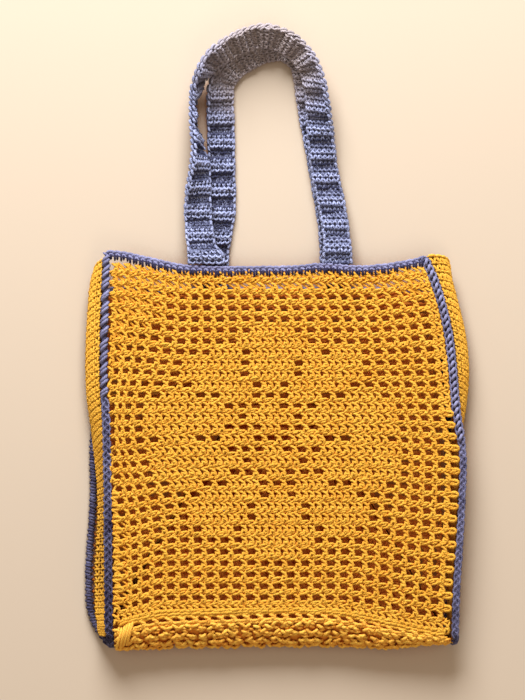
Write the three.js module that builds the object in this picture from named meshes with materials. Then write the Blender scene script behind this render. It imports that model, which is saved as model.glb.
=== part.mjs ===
// A hand-crocheted tote lying empty on its back, millimetres, +Z up, mouth towards +Y.
import * as THREE from "three";

// Driving dimensions in millimetres
const panelWidth = 302; // front panel between its two seam lines at the mouth
const panelHeight = 327; // front panel from its top edge to the bottom ridge
const gussetDepth = 55; // side strip from seam to seam when it is spread flat
const lyingDepth = 26; // between the middles of the two panels as the empty bag lies
const frontSag = 5; // how far the middle of the front panel sinks
const mouthStep = 21; // the back panel's top edge lies this far below the front panel's
const fabricThickness = 3;
const seamDiameter = 8.4;
const edgingWidth = 7.6;
const edgingThickness = 5;
const handleWidth = 27;
const handleThickness = 5;
const handleRise = 217; // from the mouth to the middle of the band at the top of the front loop
const handleSpread = 125; // between the middles of a handle's two feet
const handleShift = 6.6; // the handles stand this far right of the middle of the mouth
const ribPitch = 21; // along a handle, from valley to valley
const ribDepth = 0.7; // how far a valley sinks on each face of a handle
const cornerInset = 2; // the back panel's lower corners turn in by this
const edgingEndGap = 1; // between the ends of an edging and its seams
const clearance = 0.3; // between neighbouring pieces

// Heights and half sizes that follow from them
const seamRadius = seamDiameter / 2;
const backHeight = fabricThickness / 2;
const frontHeight = backHeight + lyingDepth;
const edgingHalf = edgingWidth / 2;
const backTop = mouthStep / panelHeight;

// Front panel's top edge: across is a share from the left seam to the right, down a share of panelHeight
const mouthLine = [
  { across: 0.0, down: -0.043 },
  { across: 0.06, down: -0.038 },
  { across: 0.13, down: -0.023 },
  { across: 0.255, down: 0.0 },
  { across: 0.58, down: 0.002 },
  { across: 0.68, down: -0.006 },
  { across: 0.79, down: 0.002 },
  { across: 0.915, down: -0.009 },
  { across: 1.0, down: -0.033 },
];

// Bottom ridge, where the front panel turns into the bottom strip, with the same columns
const ridgeLine = [
  { across: 0.0, down: 1.043 },
  { across: 0.06, down: 1.036 },
  { across: 0.27, down: 1.0 },
  { across: 0.64, down: 1.0 },
  { across: 0.84, down: 1.038 },
  { across: 0.96, down: 1.064 },
  { across: 1.0, down: 1.067 },
];

// Lines down the two sides: down is a share of panelHeight, across a share of panelWidth from the
// middle of the mouth, lift a share of the height from the floor to the front panel
const leftFrontLine = [
  { down: -0.05, across: -0.5, lift: 1.0 },
  { down: 0.29, across: -0.508, lift: 1.0 },
  { down: 0.5, across: -0.499, lift: 1.0 },
  { down: 0.9, across: -0.494, lift: 1.0 },
  { down: 1.045, across: -0.493, lift: 0.97 },
];
const leftBackLine = [
  { down: 0.05, across: -0.516, lift: 0.0 },
  { down: 0.34, across: -0.53, lift: 0.0 },
  { down: 0.52, across: -0.545, lift: 0.0 },
  { down: 0.66, across: -0.544, lift: 0.0 },
  { down: 0.88, across: -0.558, lift: 0.0 },
  { down: 1.0, across: -0.553, lift: 0.0 },
  { down: 1.045, across: -0.535, lift: 0.0 },
];
const rightFrontLine = [
  { down: -0.05, across: 0.492, lift: 1.0 },
  { down: 0.055, across: 0.541, lift: 1.0 },
  { down: 0.2, across: 0.58, lift: 1.0 },
  { down: 0.42, across: 0.604, lift: 1.0 },
  { down: 0.55, across: 0.624, lift: 1.0 },
  { down: 0.75, across: 0.617, lift: 1.0 },
  { down: 0.95, across: 0.604, lift: 1.0 },
  { down: 1.075, across: 0.6, lift: 0.95 },
];
const rightBackLine = [
  { down: 0.05, across: 0.54, lift: 0.0 },
  { down: 0.18, across: 0.56, lift: 0.0 },
  { down: 0.47, across: 0.579, lift: 0.0 },
  { down: 0.76, across: 0.586, lift: 0.0 },
  { down: 1.0, across: 0.582, lift: 0.0 },
  { down: 1.05, across: 0.575, lift: 0.0 },
];

// Fold in the middle of each gusset: out is a share of gussetDepth outwards from the front seam line
const leftFold = [
  { down: -0.02, out: 0.17, lift: 0.5 },
  { down: 0.06, out: 0.27, lift: 0.5 },
  { down: 0.36, out: 0.3, lift: 0.48 },
  { down: 0.48, out: 0.2, lift: 0.45 },
  { down: 0.6, out: 0.05, lift: 0.44 },
  { down: 0.74, out: -0.05, lift: 0.44 },
  { down: 0.92, out: -0.05, lift: 0.44 },
  { down: 1.035, out: 0.1, lift: 0.48 },
];
const rightFold = [
  { down: -0.03, out: 0.42, lift: 0.52 },
  { down: 0.05, out: 0.3, lift: 0.5 },
  { down: 0.3, out: 0.27, lift: 0.48 },
  { down: 0.42, out: 0.14, lift: 0.46 },
  { down: 0.55, out: -0.12, lift: 0.45 },
  { down: 0.8, out: -0.16, lift: 0.45 },
  { down: 1.06, out: -0.06, lift: 0.48 },
];

// A gusset's mouth starts this share of panelHeight below the tops of its two seam lines
const gussetInset = 0.02;

// The bottom strip reaches the floor's level at the share fold and ends at the share backEdge
const bottomStrip = { backEdge: 1.083, fold: 1.131, steps: 8 };

// Where a seam turns round the gusset's foot, from front to back, with the side lines' columns
const leftTurn = [
  { down: 1.08, across: -0.487, lift: 0.78 },
  { down: 1.097, across: -0.485, lift: 0.45 },
  { down: 1.082, across: -0.507, lift: 0.12 },
];
const rightTurn = [
  { down: 1.103, across: 0.598, lift: 0.72 },
  { down: 1.112, across: 0.593, lift: 0.4 },
  { down: 1.092, across: 0.583, lift: 0.1 },
];

// A handle from its left foot over the top to its right foot: across is a share of handleSpread from
// the middle, up a share of handleRise, lean the degrees that the outer edge is raised, lift a share
// of the front panel's height above where the leaning band would rest, wide a share of handleWidth
const frontLoop = [
  { across: -0.5, up: 0.0, lean: 0, lift: 1.0, wide: 1.25 },
  { across: -0.545, up: 0.08, lean: 0, lift: 0.86, wide: 1.0 },
  { across: -0.564, up: 0.21, lean: 5, lift: 0.45, wide: 1.0 },
  { across: -0.561, up: 0.32, lean: 30, lift: 0.3, wide: 1.0 },
  { across: -0.55, up: 0.42, lean: 50, lift: 0.24, wide: 1.0 },
  { across: -0.562, up: 0.51, lean: 72, lift: 0.14, wide: 1.0 },
  { across: -0.602, up: 0.63, lean: 88, lift: 0.05, wide: 1.0 },
  { across: -0.591, up: 0.735, lean: 84, lift: 0.08, wide: 1.0 },
  { across: -0.535, up: 0.823, lean: 70, lift: 0.42, wide: 1.0 },
  { across: -0.43, up: 0.905, lean: 52, lift: 0.7, wide: 1.0 },
  { across: -0.242, up: 0.972, lean: 43, lift: 0.72, wide: 1.0 },
  { across: -0.053, up: 1.0, lean: 40, lift: 0.72, wide: 1.0 },
  { across: 0.136, up: 0.963, lean: 41, lift: 0.66, wide: 1.0 },
  { across: 0.265, up: 0.884, lean: 45, lift: 0.57, wide: 1.0 },
  { across: 0.326, up: 0.788, lean: 44, lift: 0.54, wide: 1.0 },
  { across: 0.352, up: 0.683, lean: 34, lift: 0.46, wide: 1.0 },
  { across: 0.371, up: 0.565, lean: 15, lift: 0.36, wide: 1.0 },
  { across: 0.402, up: 0.411, lean: 0, lift: 0.3, wide: 1.0 },
  { across: 0.458, up: 0.258, lean: 0, lift: 0.4, wide: 1.0 },
  { across: 0.496, up: 0.105, lean: 0, lift: 0.75, wide: 1.0 },
  { across: 0.5, up: 0.0, lean: 0, lift: 1.0, wide: 1.15 },
];
const backLoop = [
  { across: -0.409, up: 0.0, lean: 0, lift: 0.0, wide: 1.05 },
  { across: -0.405, up: 0.158, lean: 0, lift: 0.005, wide: 1.0 },
  { across: -0.383, up: 0.333, lean: 0, lift: 0.005, wide: 1.0 },
  { across: -0.386, up: 0.508, lean: 0, lift: 0.005, wide: 1.0 },
  { across: -0.39, up: 0.683, lean: 2, lift: 0.005, wide: 1.0 },
  { across: -0.394, up: 0.796, lean: 14, lift: 0.005, wide: 1.0 },
  { across: -0.388, up: 0.884, lean: 24, lift: 0.005, wide: 1.0 },
  { across: -0.318, up: 0.955, lean: 22, lift: 0.005, wide: 1.0 },
  { across: -0.182, up: 1.008, lean: 27, lift: 0.005, wide: 1.0 },
  { across: -0.03, up: 1.044, lean: 31, lift: 0.005, wide: 1.0 },
  { across: 0.121, up: 1.04, lean: 34, lift: 0.005, wide: 1.0 },
  { across: 0.235, up: 0.975, lean: 34, lift: 0.005, wide: 1.0 },
  { across: 0.273, up: 0.867, lean: 30, lift: 0.005, wide: 1.0 },
  { across: 0.311, up: 0.748, lean: 16, lift: 0.005, wide: 1.0 },
  { across: 0.356, up: 0.617, lean: 4, lift: 0.005, wide: 1.0 },
  { across: 0.409, up: 0.442, lean: 0, lift: 0.005, wide: 1.0 },
  { across: 0.462, up: 0.245, lean: 0, lift: 0.005, wide: 1.0 },
  { across: 0.485, up: 0.0, lean: 0, lift: 0.0, wide: 1.05 },
];

// The mesh is drawn as a coarse net. Each gap stands for a block of open cells, and the marked
// blocks are the closely worked flower in the middle. The rows run from the mouth to the ridge.
const cellsAcross = 25;
const cellsDown = 30;
const blocksAcross = [3, 2, 2, 2, 2, 1, 2, 2, 2, 2, 3];
const plainRim = 1; // cells at each side that stay closed
const blocksDown = [2, 3, 3, 3, 3, 3, 3, 3, 3, 4];
const flowerBlocks = [
  "...........",
  "...........",
  "....XXX....",
  "..XX.X.XX..",
  ".XXX.X.XXX.",
  ".XXX.X.XXX.",
  ".XXX.X.XXX.",
  "..XX.X.XX..",
  "....XXX....",
  "...........",
];
const barShare = 0.24; // half the width of a bar between gaps, as a share of a cell
const backBlocks = { across: 8, down: 6, bar: 0.18 };

// Smooth value of one column of a table, at a position along another column
function smooth(rows, key, column, at) {
  const last = rows.length - 1;
  let k = 0;
  while (k < last - 1 && at > rows[k + 1][key]) k += 1;
  const slope = (i) => {
    const a = rows[Math.max(i - 1, 0)];
    const b = rows[Math.min(i + 1, last)];
    return (b[column] - a[column]) / (b[key] - a[key]);
  };
  const [p, q] = [rows[k], rows[k + 1]];
  const step = q[key] - p[key];
  const u = (at - p[key]) / step;
  if (u < 0) return p[column] + slope(0) * (at - p[key]);
  if (u > 1) return q[column] + slope(last) * (at - q[key]);
  const [u2, u3] = [u * u, u * u * u];
  return (
    p[column] * (2 * u3 - 3 * u2 + 1) +
    q[column] * (3 * u2 - 2 * u3) +
    step * (slope(k) * (u3 - 2 * u2 + u) + slope(k + 1) * (u3 - u2))
  );
}

const mix = (a, b, u) => a + (b - a) * u;

// Height of a seam's middle above the floor, from its lift
const seamHeight = (lift) => mix(seamRadius, frontHeight, lift);

// Point on a side line at a share of the way down
function sidePoint(line, down) {
  return new THREE.Vector3(
    panelWidth * smooth(line, "down", "across", down),
    -panelHeight * down,
    seamHeight(smooth(line, "down", "lift", down)),
  );
}

// Where a sheet's edge lies beside a seam: the seam's radius and the clearance, square to its line
function edgeBeside(line, down, inward) {
  const here = sidePoint(line, down);
  const next = sidePoint(line, down + 0.01);
  const run = next.sub(here);
  const slant = Math.hypot(run.x, run.y) / Math.abs(run.y);
  return here.x + inward * (seamRadius + clearance) * slant;
}

// A closed sheet from a grid of middle points. Its faces lie half the thickness to each side, along
// the given directions or else square to the grid, and cells that isOpen names are left out.
function sheet(points, thickness, isOpen = () => false, directions = {}) {
  const [across, down] = [points.length - 1, points[0].length - 1];
  const index = (i, j) => i * (down + 1) + j;
  const count = (across + 1) * (down + 1);
  const position = new Float32Array(count * 6);
  const at = (i, j) =>
    points[Math.min(Math.max(i, 0), across)][Math.min(Math.max(j, 0), down)];
  for (let i = 0; i <= across; i += 1) {
    for (let j = 0; j <= down; j += 1) {
      const alongI = at(i + 1, j).clone().sub(at(i - 1, j));
      const alongJ = at(i, j + 1).clone().sub(at(i, j - 1));
      const given = directions[j];
      const normal = given ? given[i] : alongJ.cross(alongI).normalize();
      const half = normal.clone().multiplyScalar(thickness / 2);
      at(i, j).clone().add(half).toArray(position, index(i, j) * 3);
      at(i, j).clone().sub(half).toArray(position, (count + index(i, j)) * 3);
    }
  }
  const faces = [];
  const outside = (i, j) =>
    i < 0 || j < 0 || i >= across || j >= down || isOpen(i, j);
  for (let i = 0; i < across; i += 1) {
    for (let j = 0; j < down; j += 1) {
      if (isOpen(i, j)) continue;
      const loop = [index(i, j), index(i, j + 1), index(i + 1, j + 1), index(i + 1, j)];
      const [a, d, c, b] = loop;
      faces.push(a, d, c, a, c, b);
      faces.push(a + count, c + count, d + count, a + count, b + count, c + count);
      const beyond = [outside(i - 1, j), outside(i, j + 1), outside(i + 1, j), outside(i, j - 1)];
      beyond.forEach((isEdge, side) => {
        if (!isEdge) return;
        const [p, q] = [loop[side], loop[(side + 1) % 4]];
        faces.push(q, p, p + count, q, p + count, q + count);
      });
    }
  }
  return closedGeometry(position, faces);
}

function closedGeometry(position, faces) {
  const geometry = new THREE.BufferGeometry();
  geometry.setAttribute("position", new THREE.BufferAttribute(position, 3));
  geometry.setIndex(faces);
  geometry.computeVertexNormals();
  return geometry;
}

// A closed bar swept through stations, each with a centre and two half-size directions
function bar(stations, outline) {
  const sides = outline.length;
  const position = new Float32Array(stations.length * sides * 3);
  stations.forEach(({ centre, wide, thick }, k) => {
    outline.forEach(([w, t], m) => {
      centre
        .clone()
        .addScaledVector(wide, w)
        .addScaledVector(thick, t)
        .toArray(position, (k * sides + m) * 3);
    });
  });
  const faces = [];
  for (let k = 0; k + 1 < stations.length; k += 1) {
    for (let m = 0; m < sides; m += 1) {
      const [a, b] = [k * sides + m, k * sides + ((m + 1) % sides)];
      faces.push(a, b, b + sides, a, b + sides, a + sides);
    }
  }
  const end = (stations.length - 1) * sides;
  for (let m = 1; m + 1 < sides; m += 1) {
    faces.push(0, m + 1, m);
    faces.push(end, end + m, end + m + 1);
  }
  return closedGeometry(position, faces);
}

const cordSides = 8;
const roundOutline = Array.from({ length: cordSides }, (_, m) => {
  const angle = ((m + 0.5) * 2 * Math.PI) / cordSides;
  return [Math.cos(angle), Math.sin(angle)];
});

// A band's cross-section as shares of its half width and half thickness
const bandOutline = [
  [1, -0.45],
  [1, 0.45],
  [0.88, 1],
  [-0.88, 1],
  [-1, 0.45],
  [-1, -0.45],
  [-0.88, -1],
  [0.88, -1],
];

// A round or flattened cord through a list of points, its section kept from twisting
function cordBar(points, halfWidth, halfThickness) {
  const stations = [];
  let up = new THREE.Vector3(0, 0, 1);
  points.forEach((centre, k) => {
    const before = points[Math.max(k - 1, 0)];
    const after = points[Math.min(k + 1, points.length - 1)];
    const along = after.clone().sub(before).normalize();
    up = up.clone().addScaledVector(along, -up.dot(along)).normalize();
    const side = up.clone().cross(along);
    stations.push({
      centre,
      wide: side.multiplyScalar(halfWidth),
      thick: up.clone().multiplyScalar(halfThickness),
    });
  });
  return bar(stations, roundOutline);
}

// Lines of a coarse net in one direction, and which of its strips hold gaps
function netLines(blocks, margin, half) {
  const lines = [0];
  const gaps = [];
  let start = margin;
  blocks.forEach((size, block) => {
    lines.push(start + half, start + size - half);
    gaps[lines.length - 2] = block;
    start += size;
  });
  lines.push(start + margin);
  return { lines: lines.map((line) => line / (start + margin)), gaps };
}

// Share of panelHeight from the middle of the front edging to the panel, square to the mouth line
function belowEdging(across) {
  const step = 0.01;
  const rise = smooth(mouthLine, "across", "down", across + step) - smooth(mouthLine, "across", "down", across);
  const slant = Math.hypot(panelHeight * rise, panelWidth * step) / (panelWidth * step);
  return ((edgingHalf + clearance) * slant) / panelHeight;
}

// How far the front panel hangs below its seams, half as far at the mouth and the ridge as between
function sagAt(across, down) {
  const flatness = 0.8;
  return frontSag * Math.sin(Math.PI * across) ** flatness * (0.5 + 0.5 * Math.sin(Math.PI * down));
}

// Front panel: its middle surface at shares across and down, between the mouth line and the ridge
function frontPoint(across, down) {
  const top = smooth(mouthLine, "across", "down", across) + belowEdging(across);
  const foot = smooth(ridgeLine, "across", "down", across);
  const level = mix(top, foot, down);
  const left = edgeBeside(leftFrontLine, level, 1);
  const right = edgeBeside(rightFrontLine, level, -1);
  const height = frontHeight - sagAt(across, down);
  return new THREE.Vector3(mix(left, right, across), -panelHeight * level, height);
}

// The ridge is mitred: both sheets end along the direction halfway between their own
function ridgeDirection(across) {
  const fromPanel = frontPoint(across, 1).sub(frontPoint(across, 0.97)).normalize();
  const intoBottom = bottomSurface(across, 0.06).sub(bottomSurface(across, 0)).normalize();
  const along = frontPoint(Math.min(across + 0.01, 1), 1).sub(frontPoint(Math.max(across - 0.01, 0), 1));
  return fromPanel.add(intoBottom).cross(along).normalize();
}

function frontPanel() {
  const x = netLines(blocksAcross, plainRim, barShare);
  const y = netLines(blocksDown, 0, barShare);
  const points = x.lines.map((across) => y.lines.map((down) => frontPoint(across, down)));
  const isGap = (i, j) => {
    const [block, row] = [x.gaps[i], y.gaps[j]];
    return block !== undefined && row !== undefined && flowerBlocks[row][block] === ".";
  };
  const mitre = { [y.lines.length - 1]: x.lines.map(ridgeDirection) };
  return sheet(points, fabricThickness, isGap, mitre);
}

// Back panel: flat on the floor between the two back seam lines
function backPanel() {
  const x = netLines(Array(backBlocks.across).fill(1), 0, backBlocks.bar);
  const y = netLines(Array(backBlocks.down).fill(1), 0, backBlocks.bar);
  const top = backTop + (edgingHalf + clearance) / panelHeight;
  const foot = bottomStrip.backEdge - clearance / panelHeight;
  const points = x.lines.map((across) =>
    y.lines.map((down) => {
      const level = mix(top, foot, down);
      const left = down < 1 ? edgeBeside(leftBackLine, level, 1) : bottomLeft + cornerInset;
      const right = down < 1 ? edgeBeside(rightBackLine, level, -1) : bottomRight - cornerInset;
      return new THREE.Vector3(mix(left, right, across), -panelHeight * level, backHeight);
    }),
  );
  const isGap = (i, j) => x.gaps[i] !== undefined && y.gaps[j] !== undefined;
  return sheet(points, fabricThickness, isGap);
}

// Bottom strip: from the ridge it rolls down and under, to meet the back panel on the floor
const turnReach = (turn) => Math.min(...turn.map((row) => Math.abs(panelWidth * row.across)));
const bottomLeft = -turnReach(leftTurn) + seamRadius + clearance;
const bottomRight = turnReach(rightTurn) - seamRadius - clearance;

function bottomSurface(across, round) {
  const ridge = frontPoint(across, 1);
  const back = new THREE.Vector3(0, -panelHeight * bottomStrip.backEdge, backHeight);
  const fold = new THREE.Vector3(0, -panelHeight * bottomStrip.fold, backHeight);
  const w = 1 - round;
  const weight = [w * w, 2 * w * round, round * round];
  const y = weight[0] * ridge.y + weight[1] * fold.y + weight[2] * back.y;
  const z = weight[0] * ridge.z + weight[1] * fold.z + weight[2] * back.z;
  const x = mix(ridge.x, mix(bottomLeft, bottomRight, across), Math.min(round * bottomStrip.steps, 1));
  return new THREE.Vector3(x, y, z);
}

function bottomPanel() {
  const acrossSteps = 20;
  const roundSteps = bottomStrip.steps;
  const points = [];
  const mitre = [];
  for (let i = 0; i <= acrossSteps; i += 1) {
    const across = i / acrossSteps;
    const column = [];
    for (let j = 0; j <= roundSteps; j += 1) column.push(bottomSurface(across, j / roundSteps));
    const along = column[1].clone().sub(column[0]).normalize();
    const miter = ridgeDirection(across);
    column[0].addScaledVector(along, clearance / Math.sqrt(1 - along.dot(miter) ** 2));
    points.push(column);
    mitre.push(miter);
  }
  const flat = points.map(() => new THREE.Vector3(0, 0, 1));
  return sheet(points, fabricThickness, undefined, { 0: mitre, [roundSteps]: flat });
}

// Gusset: each cross-section curves from the front seam line over the fold to the back seam line
function gusset(frontLine, foldLine, backLine, outward) {
  const [sectionSteps, downSteps] = [6, 22];
  const ends = [frontLine, backLine].map((line) => [
    line[0].down + gussetInset,
    line[line.length - 1].down,
  ]);
  const rows = [];
  for (let j = 0; j <= downSteps; j += 1) {
    const [a, b] = ends.map(([top, foot]) => mix(top, foot, j / downSteps));
    const m = (a + b) / 2;
    const front = sidePoint(frontLine, a);
    const back = sidePoint(backLine, b);
    const out = outward * gussetDepth * smooth(foldLine, "down", "out", m);
    const fold = new THREE.Vector3(
      sidePoint(frontLine, m).x + out,
      -panelHeight * m,
      seamHeight(smooth(foldLine, "down", "lift", m)),
    );
    const runs = [sideRun(frontLine, a), sideRun(backLine, b)];
    rows.push(sectionPoints(front, fold, back, runs, sectionSteps));
  }
  const foot = rows[rows.length - 1];
  rows.push(...roundedFoot(foot, sectionSteps));
  const points = [];
  for (let i = 0; i <= sectionSteps; i += 1) points.push(rows.map((row) => row[i]));
  return sheet(outward < 0 ? points.reverse() : points, fabricThickness);
}

// Points along one cross-section, cut back at both ends to stand beside the seams
function sectionPoints(front, fold, back, runs, steps) {
  const middle = fold.clone().multiplyScalar(2).addScaledVector(front, -0.5).addScaledVector(back, -0.5);
  const curve = new THREE.QuadraticBezierCurve3(front, middle, back);
  curve.arcLengthDivisions = 60;
  const cut = (end, run, place) => {
    const clearOf = (share) => place(share).sub(end).cross(run).length() >= seamRadius + 2 * clearance;
    let share = 0;
    while (share < 0.5 && !clearOf(share)) share += 0.002;
    return share;
  };
  const start = cut(front, runs[0], (share) => curve.getPointAt(share));
  const stop = 1 - cut(back, runs[1], (share) => curve.getPointAt(1 - share));
  const points = [];
  for (let i = 0; i <= steps; i += 1) points.push(curve.getPointAt(mix(start, stop, i / steps)));
  return points;
}

// Direction of a side line at a share of the way down
function sideRun(line, down) {
  return sidePoint(line, down + 0.005).sub(sidePoint(line, down - 0.005)).normalize();
}

// Further rows that round off a gusset's foot inside the turn of its seam
function roundedFoot(foot, steps) {
  const centre = foot[0].clone().add(foot[steps]).multiplyScalar(0.5);
  const radius = foot[0].distanceTo(foot[steps]) / 2;
  return [0.45, 0.8].map((share) => {
    const narrow = Math.sqrt(1 - share * share);
    const drop = new THREE.Vector3(0, -radius * share, 0);
    return foot.map((point) => point.clone().sub(centre).multiplyScalar(narrow).add(centre).add(drop));
  });
}

// Seam: down the front line, round the gusset's foot and up the back line
function seam(frontLine, turn, backLine) {
  const run = (line, steps) => {
    const [top, foot] = [line[0].down, line[line.length - 1].down];
    return Array.from({ length: steps + 1 }, (_, k) => sidePoint(line, mix(top, foot, k / steps)));
  };
  const down = run(frontLine, 24);
  const up = run(backLine, 22).reverse();
  const corners = turn.map((row) =>
    new THREE.Vector3(panelWidth * row.across, -panelHeight * row.down, seamHeight(row.lift)),
  );
  const bend = [down[down.length - 2], down[down.length - 1], ...corners, up[0], up[1]];
  const curve = new THREE.CatmullRomCurve3(bend, false, "centripetal");
  const smoothBend = [];
  const [from, to] = [1 / (bend.length - 1), 1 - 1 / (bend.length - 1)];
  const bendSteps = 12;
  for (let k = 1; k < bendSteps; k += 1) smoothBend.push(curve.getPoint(mix(from, to, k / bendSteps)));
  return cordBar([...down, ...smoothBend, ...up], seamRadius, seamRadius);
}

// Edgings: a flattened cord along each panel's top edge, between the seams
function frontEdging() {
  const steps = 20;
  const points = [];
  for (let k = 0; k <= steps; k += 1) {
    const across = k / steps;
    const level = smooth(mouthLine, "across", "down", across);
    const left = edgeBeside(leftFrontLine, level, 1) + edgingEndGap;
    const right = edgeBeside(rightFrontLine, level, -1) - edgingEndGap;
    const height = frontHeight - sagAt(across, 0);
    points.push(new THREE.Vector3(mix(left, right, across), -panelHeight * level, height));
  }
  return cordBar(points, edgingHalf, edgingThickness / 2);
}

function backEdging() {
  const left = edgeBeside(leftBackLine, backTop, 1) + edgingEndGap;
  const right = edgeBeside(rightBackLine, backTop, -1) - edgingEndGap;
  const steps = 10;
  const points = [];
  for (let k = 0; k <= steps; k += 1) {
    const x = mix(left, right, k / steps);
    points.push(new THREE.Vector3(x, -panelHeight * backTop, edgingThickness / 2));
  }
  return cordBar(points, edgingHalf, edgingThickness / 2);
}

// Handle: a ribbed band through its table's rows, from one foot to the other
function handle(loop, footLevel, footHeight) {
  const last = loop.length - 1;
  const rows = loop.map((row, order) => ({ ...row, order }));
  const column = (name, at) => smooth(rows, "order", name, at);
  const station = (at) => {
    const lean = THREE.MathUtils.degToRad(column("lean", at));
    const halfWidth = (handleWidth / 2) * column("wide", at);
    const rest = (handleThickness / 2) * Math.cos(lean) + halfWidth * Math.sin(lean);
    const lift = column("lift", at) * (footHeight - handleThickness / 2);
    const centre = new THREE.Vector3(
      handleShift + handleSpread * column("across", at),
      footLevel + handleRise * column("up", at),
      rest + lift,
    );
    return { centre, lean, halfWidth };
  };
  const fine = 400;
  const reach = [0];
  for (let k = 1; k <= fine; k += 1) {
    const [a, b] = [station((last * (k - 1)) / fine), station((last * k) / fine)];
    reach.push(reach[k - 1] + a.centre.distanceTo(b.centre));
  }
  const length = reach[fine];
  const perRib = 3;
  const steps = Math.round(length / ribPitch) * perRib;
  const places = [];
  let k = 0;
  for (let step = 0; step <= steps; step += 1) {
    const target = (length * step) / steps;
    while (k < fine - 1 && reach[k + 1] < target) k += 1;
    places.push((last * (k + (target - reach[k]) / (reach[k + 1] - reach[k]))) / fine);
  }
  const stations = places.map((at, step) => {
    const { centre, lean, halfWidth } = station(at);
    const atEnd = step === 0 || step === steps;
    const ahead = station(Math.min(at + 0.05, last)).centre;
    const behind = station(Math.max(at - 0.05, 0)).centre;
    const along = ahead.sub(behind).normalize();
    if (atEnd) along.set(0, Math.sign(along.y), 0);
    const level = along.clone().cross(new THREE.Vector3(0, 0, 1)).normalize();
    const upright = level.clone().cross(along);
    const side = level.multiplyScalar(Math.cos(lean)).addScaledVector(upright, -Math.sin(lean));
    const face = side.clone().cross(along);
    const valley = step % perRib === 0 && !atEnd ? ribDepth : 0;
    return {
      centre,
      wide: side.multiplyScalar(halfWidth),
      thick: face.multiplyScalar(-(handleThickness / 2 - valley)),
    };
  });
  return bar(stations, bandOutline);
}

// Highest level of the front edging under a handle's foot
function footLevelOn(across) {
  const left = sidePoint(leftFrontLine, 0).x;
  const right = sidePoint(rightFrontLine, 0).x;
  const reach = (handleWidth / 2) * 1.25;
  const levels = [-reach, 0, reach].map((offset) => {
    const share = (handleShift + handleSpread * across + offset - left) / (right - left);
    return -panelHeight * smooth(mouthLine, "across", "down", share);
  });
  return Math.max(...levels) + edgingHalf + clearance;
}
const frontFootLevel = Math.max(footLevelOn(-0.5), footLevelOn(0.5));
const frontFootHeight = frontHeight - frontSag / 2;
const backFootLevel = -mouthStep + edgingHalf + clearance;

// Materials and pieces
const mustard = { color: 0xe0a52c, roughness: 0.95, metalness: 0 };
const denimBlue = { color: 0x6672a4, roughness: 0.95, metalness: 0 };
const seamBlue = { color: 0x5a6594, roughness: 0.95, metalness: 0 };

const pieces = [
  ["front_panel", frontPanel(), mustard],
  ["back_panel", backPanel(), mustard],
  ["bottom_panel", bottomPanel(), mustard],
  ["left_gusset", gusset(leftFrontLine, leftFold, leftBackLine, -1), mustard],
  ["right_gusset", gusset(rightFrontLine, rightFold, rightBackLine, 1), mustard],
  ["left_seam", seam(leftFrontLine, leftTurn, leftBackLine), seamBlue],
  ["right_seam", seam(rightFrontLine, rightTurn, rightBackLine), seamBlue],
  ["front_top_edging", frontEdging(), seamBlue],
  ["back_top_edging", backEdging(), seamBlue],
  ["front_handle", handle(frontLoop, frontFootLevel, frontFootHeight), denimBlue],
  ["back_handle", handle(backLoop, backFootLevel, frontFootHeight), denimBlue],
];

const tote = new THREE.Group();
for (const [name, geometry, finish] of pieces) {
  const mesh = new THREE.Mesh(geometry, new THREE.MeshStandardMaterial(finish));
  mesh.name = name;
  tote.add(mesh);
}

// The origin is on the floor below the middle of the whole bag
const extent = new THREE.Box3().setFromObject(tote);
const middle = extent.getCenter(new THREE.Vector3());
tote.position.set(-middle.x, -middle.y, -extent.min.z);

export default tote;
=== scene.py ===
# A hand-crocheted tote lying on its back: yarn-level stitches laid over the fixed frame.
# Shapes are worked out in millimetres and become metres where a mesh is made.
import math

import bpy
import numpy as np
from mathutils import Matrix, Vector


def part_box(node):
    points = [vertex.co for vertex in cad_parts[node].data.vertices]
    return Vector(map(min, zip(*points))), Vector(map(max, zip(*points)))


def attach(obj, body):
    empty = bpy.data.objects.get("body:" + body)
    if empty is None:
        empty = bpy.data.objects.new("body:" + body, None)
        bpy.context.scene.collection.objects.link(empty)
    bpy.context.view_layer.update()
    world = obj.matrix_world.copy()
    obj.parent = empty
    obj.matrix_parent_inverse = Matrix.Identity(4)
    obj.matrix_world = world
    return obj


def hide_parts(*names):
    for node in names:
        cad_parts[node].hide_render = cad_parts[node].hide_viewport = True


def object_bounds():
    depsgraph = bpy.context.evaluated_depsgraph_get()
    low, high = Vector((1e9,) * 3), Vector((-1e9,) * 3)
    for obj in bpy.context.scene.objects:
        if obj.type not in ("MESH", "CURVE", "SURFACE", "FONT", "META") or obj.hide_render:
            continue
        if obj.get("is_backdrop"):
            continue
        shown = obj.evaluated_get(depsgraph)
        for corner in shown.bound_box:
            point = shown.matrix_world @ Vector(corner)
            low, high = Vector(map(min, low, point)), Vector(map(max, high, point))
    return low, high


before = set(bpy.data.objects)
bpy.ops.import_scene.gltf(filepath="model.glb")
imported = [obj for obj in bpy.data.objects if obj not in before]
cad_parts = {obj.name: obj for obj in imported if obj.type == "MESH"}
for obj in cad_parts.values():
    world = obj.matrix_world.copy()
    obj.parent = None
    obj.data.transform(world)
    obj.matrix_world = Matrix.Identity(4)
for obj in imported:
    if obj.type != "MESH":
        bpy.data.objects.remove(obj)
cad_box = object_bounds()
MM = 0.001
rng = np.random.default_rng(7)


def table(names, *rows):
    """A short table with named columns."""
    return dict(zip(names.split(), np.array(rows, float).T))


def strand_of(*rows):
    """The shape of a strand: x and y along a cloth or a rope, and h above it."""
    return table("x y h", *rows)


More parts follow.
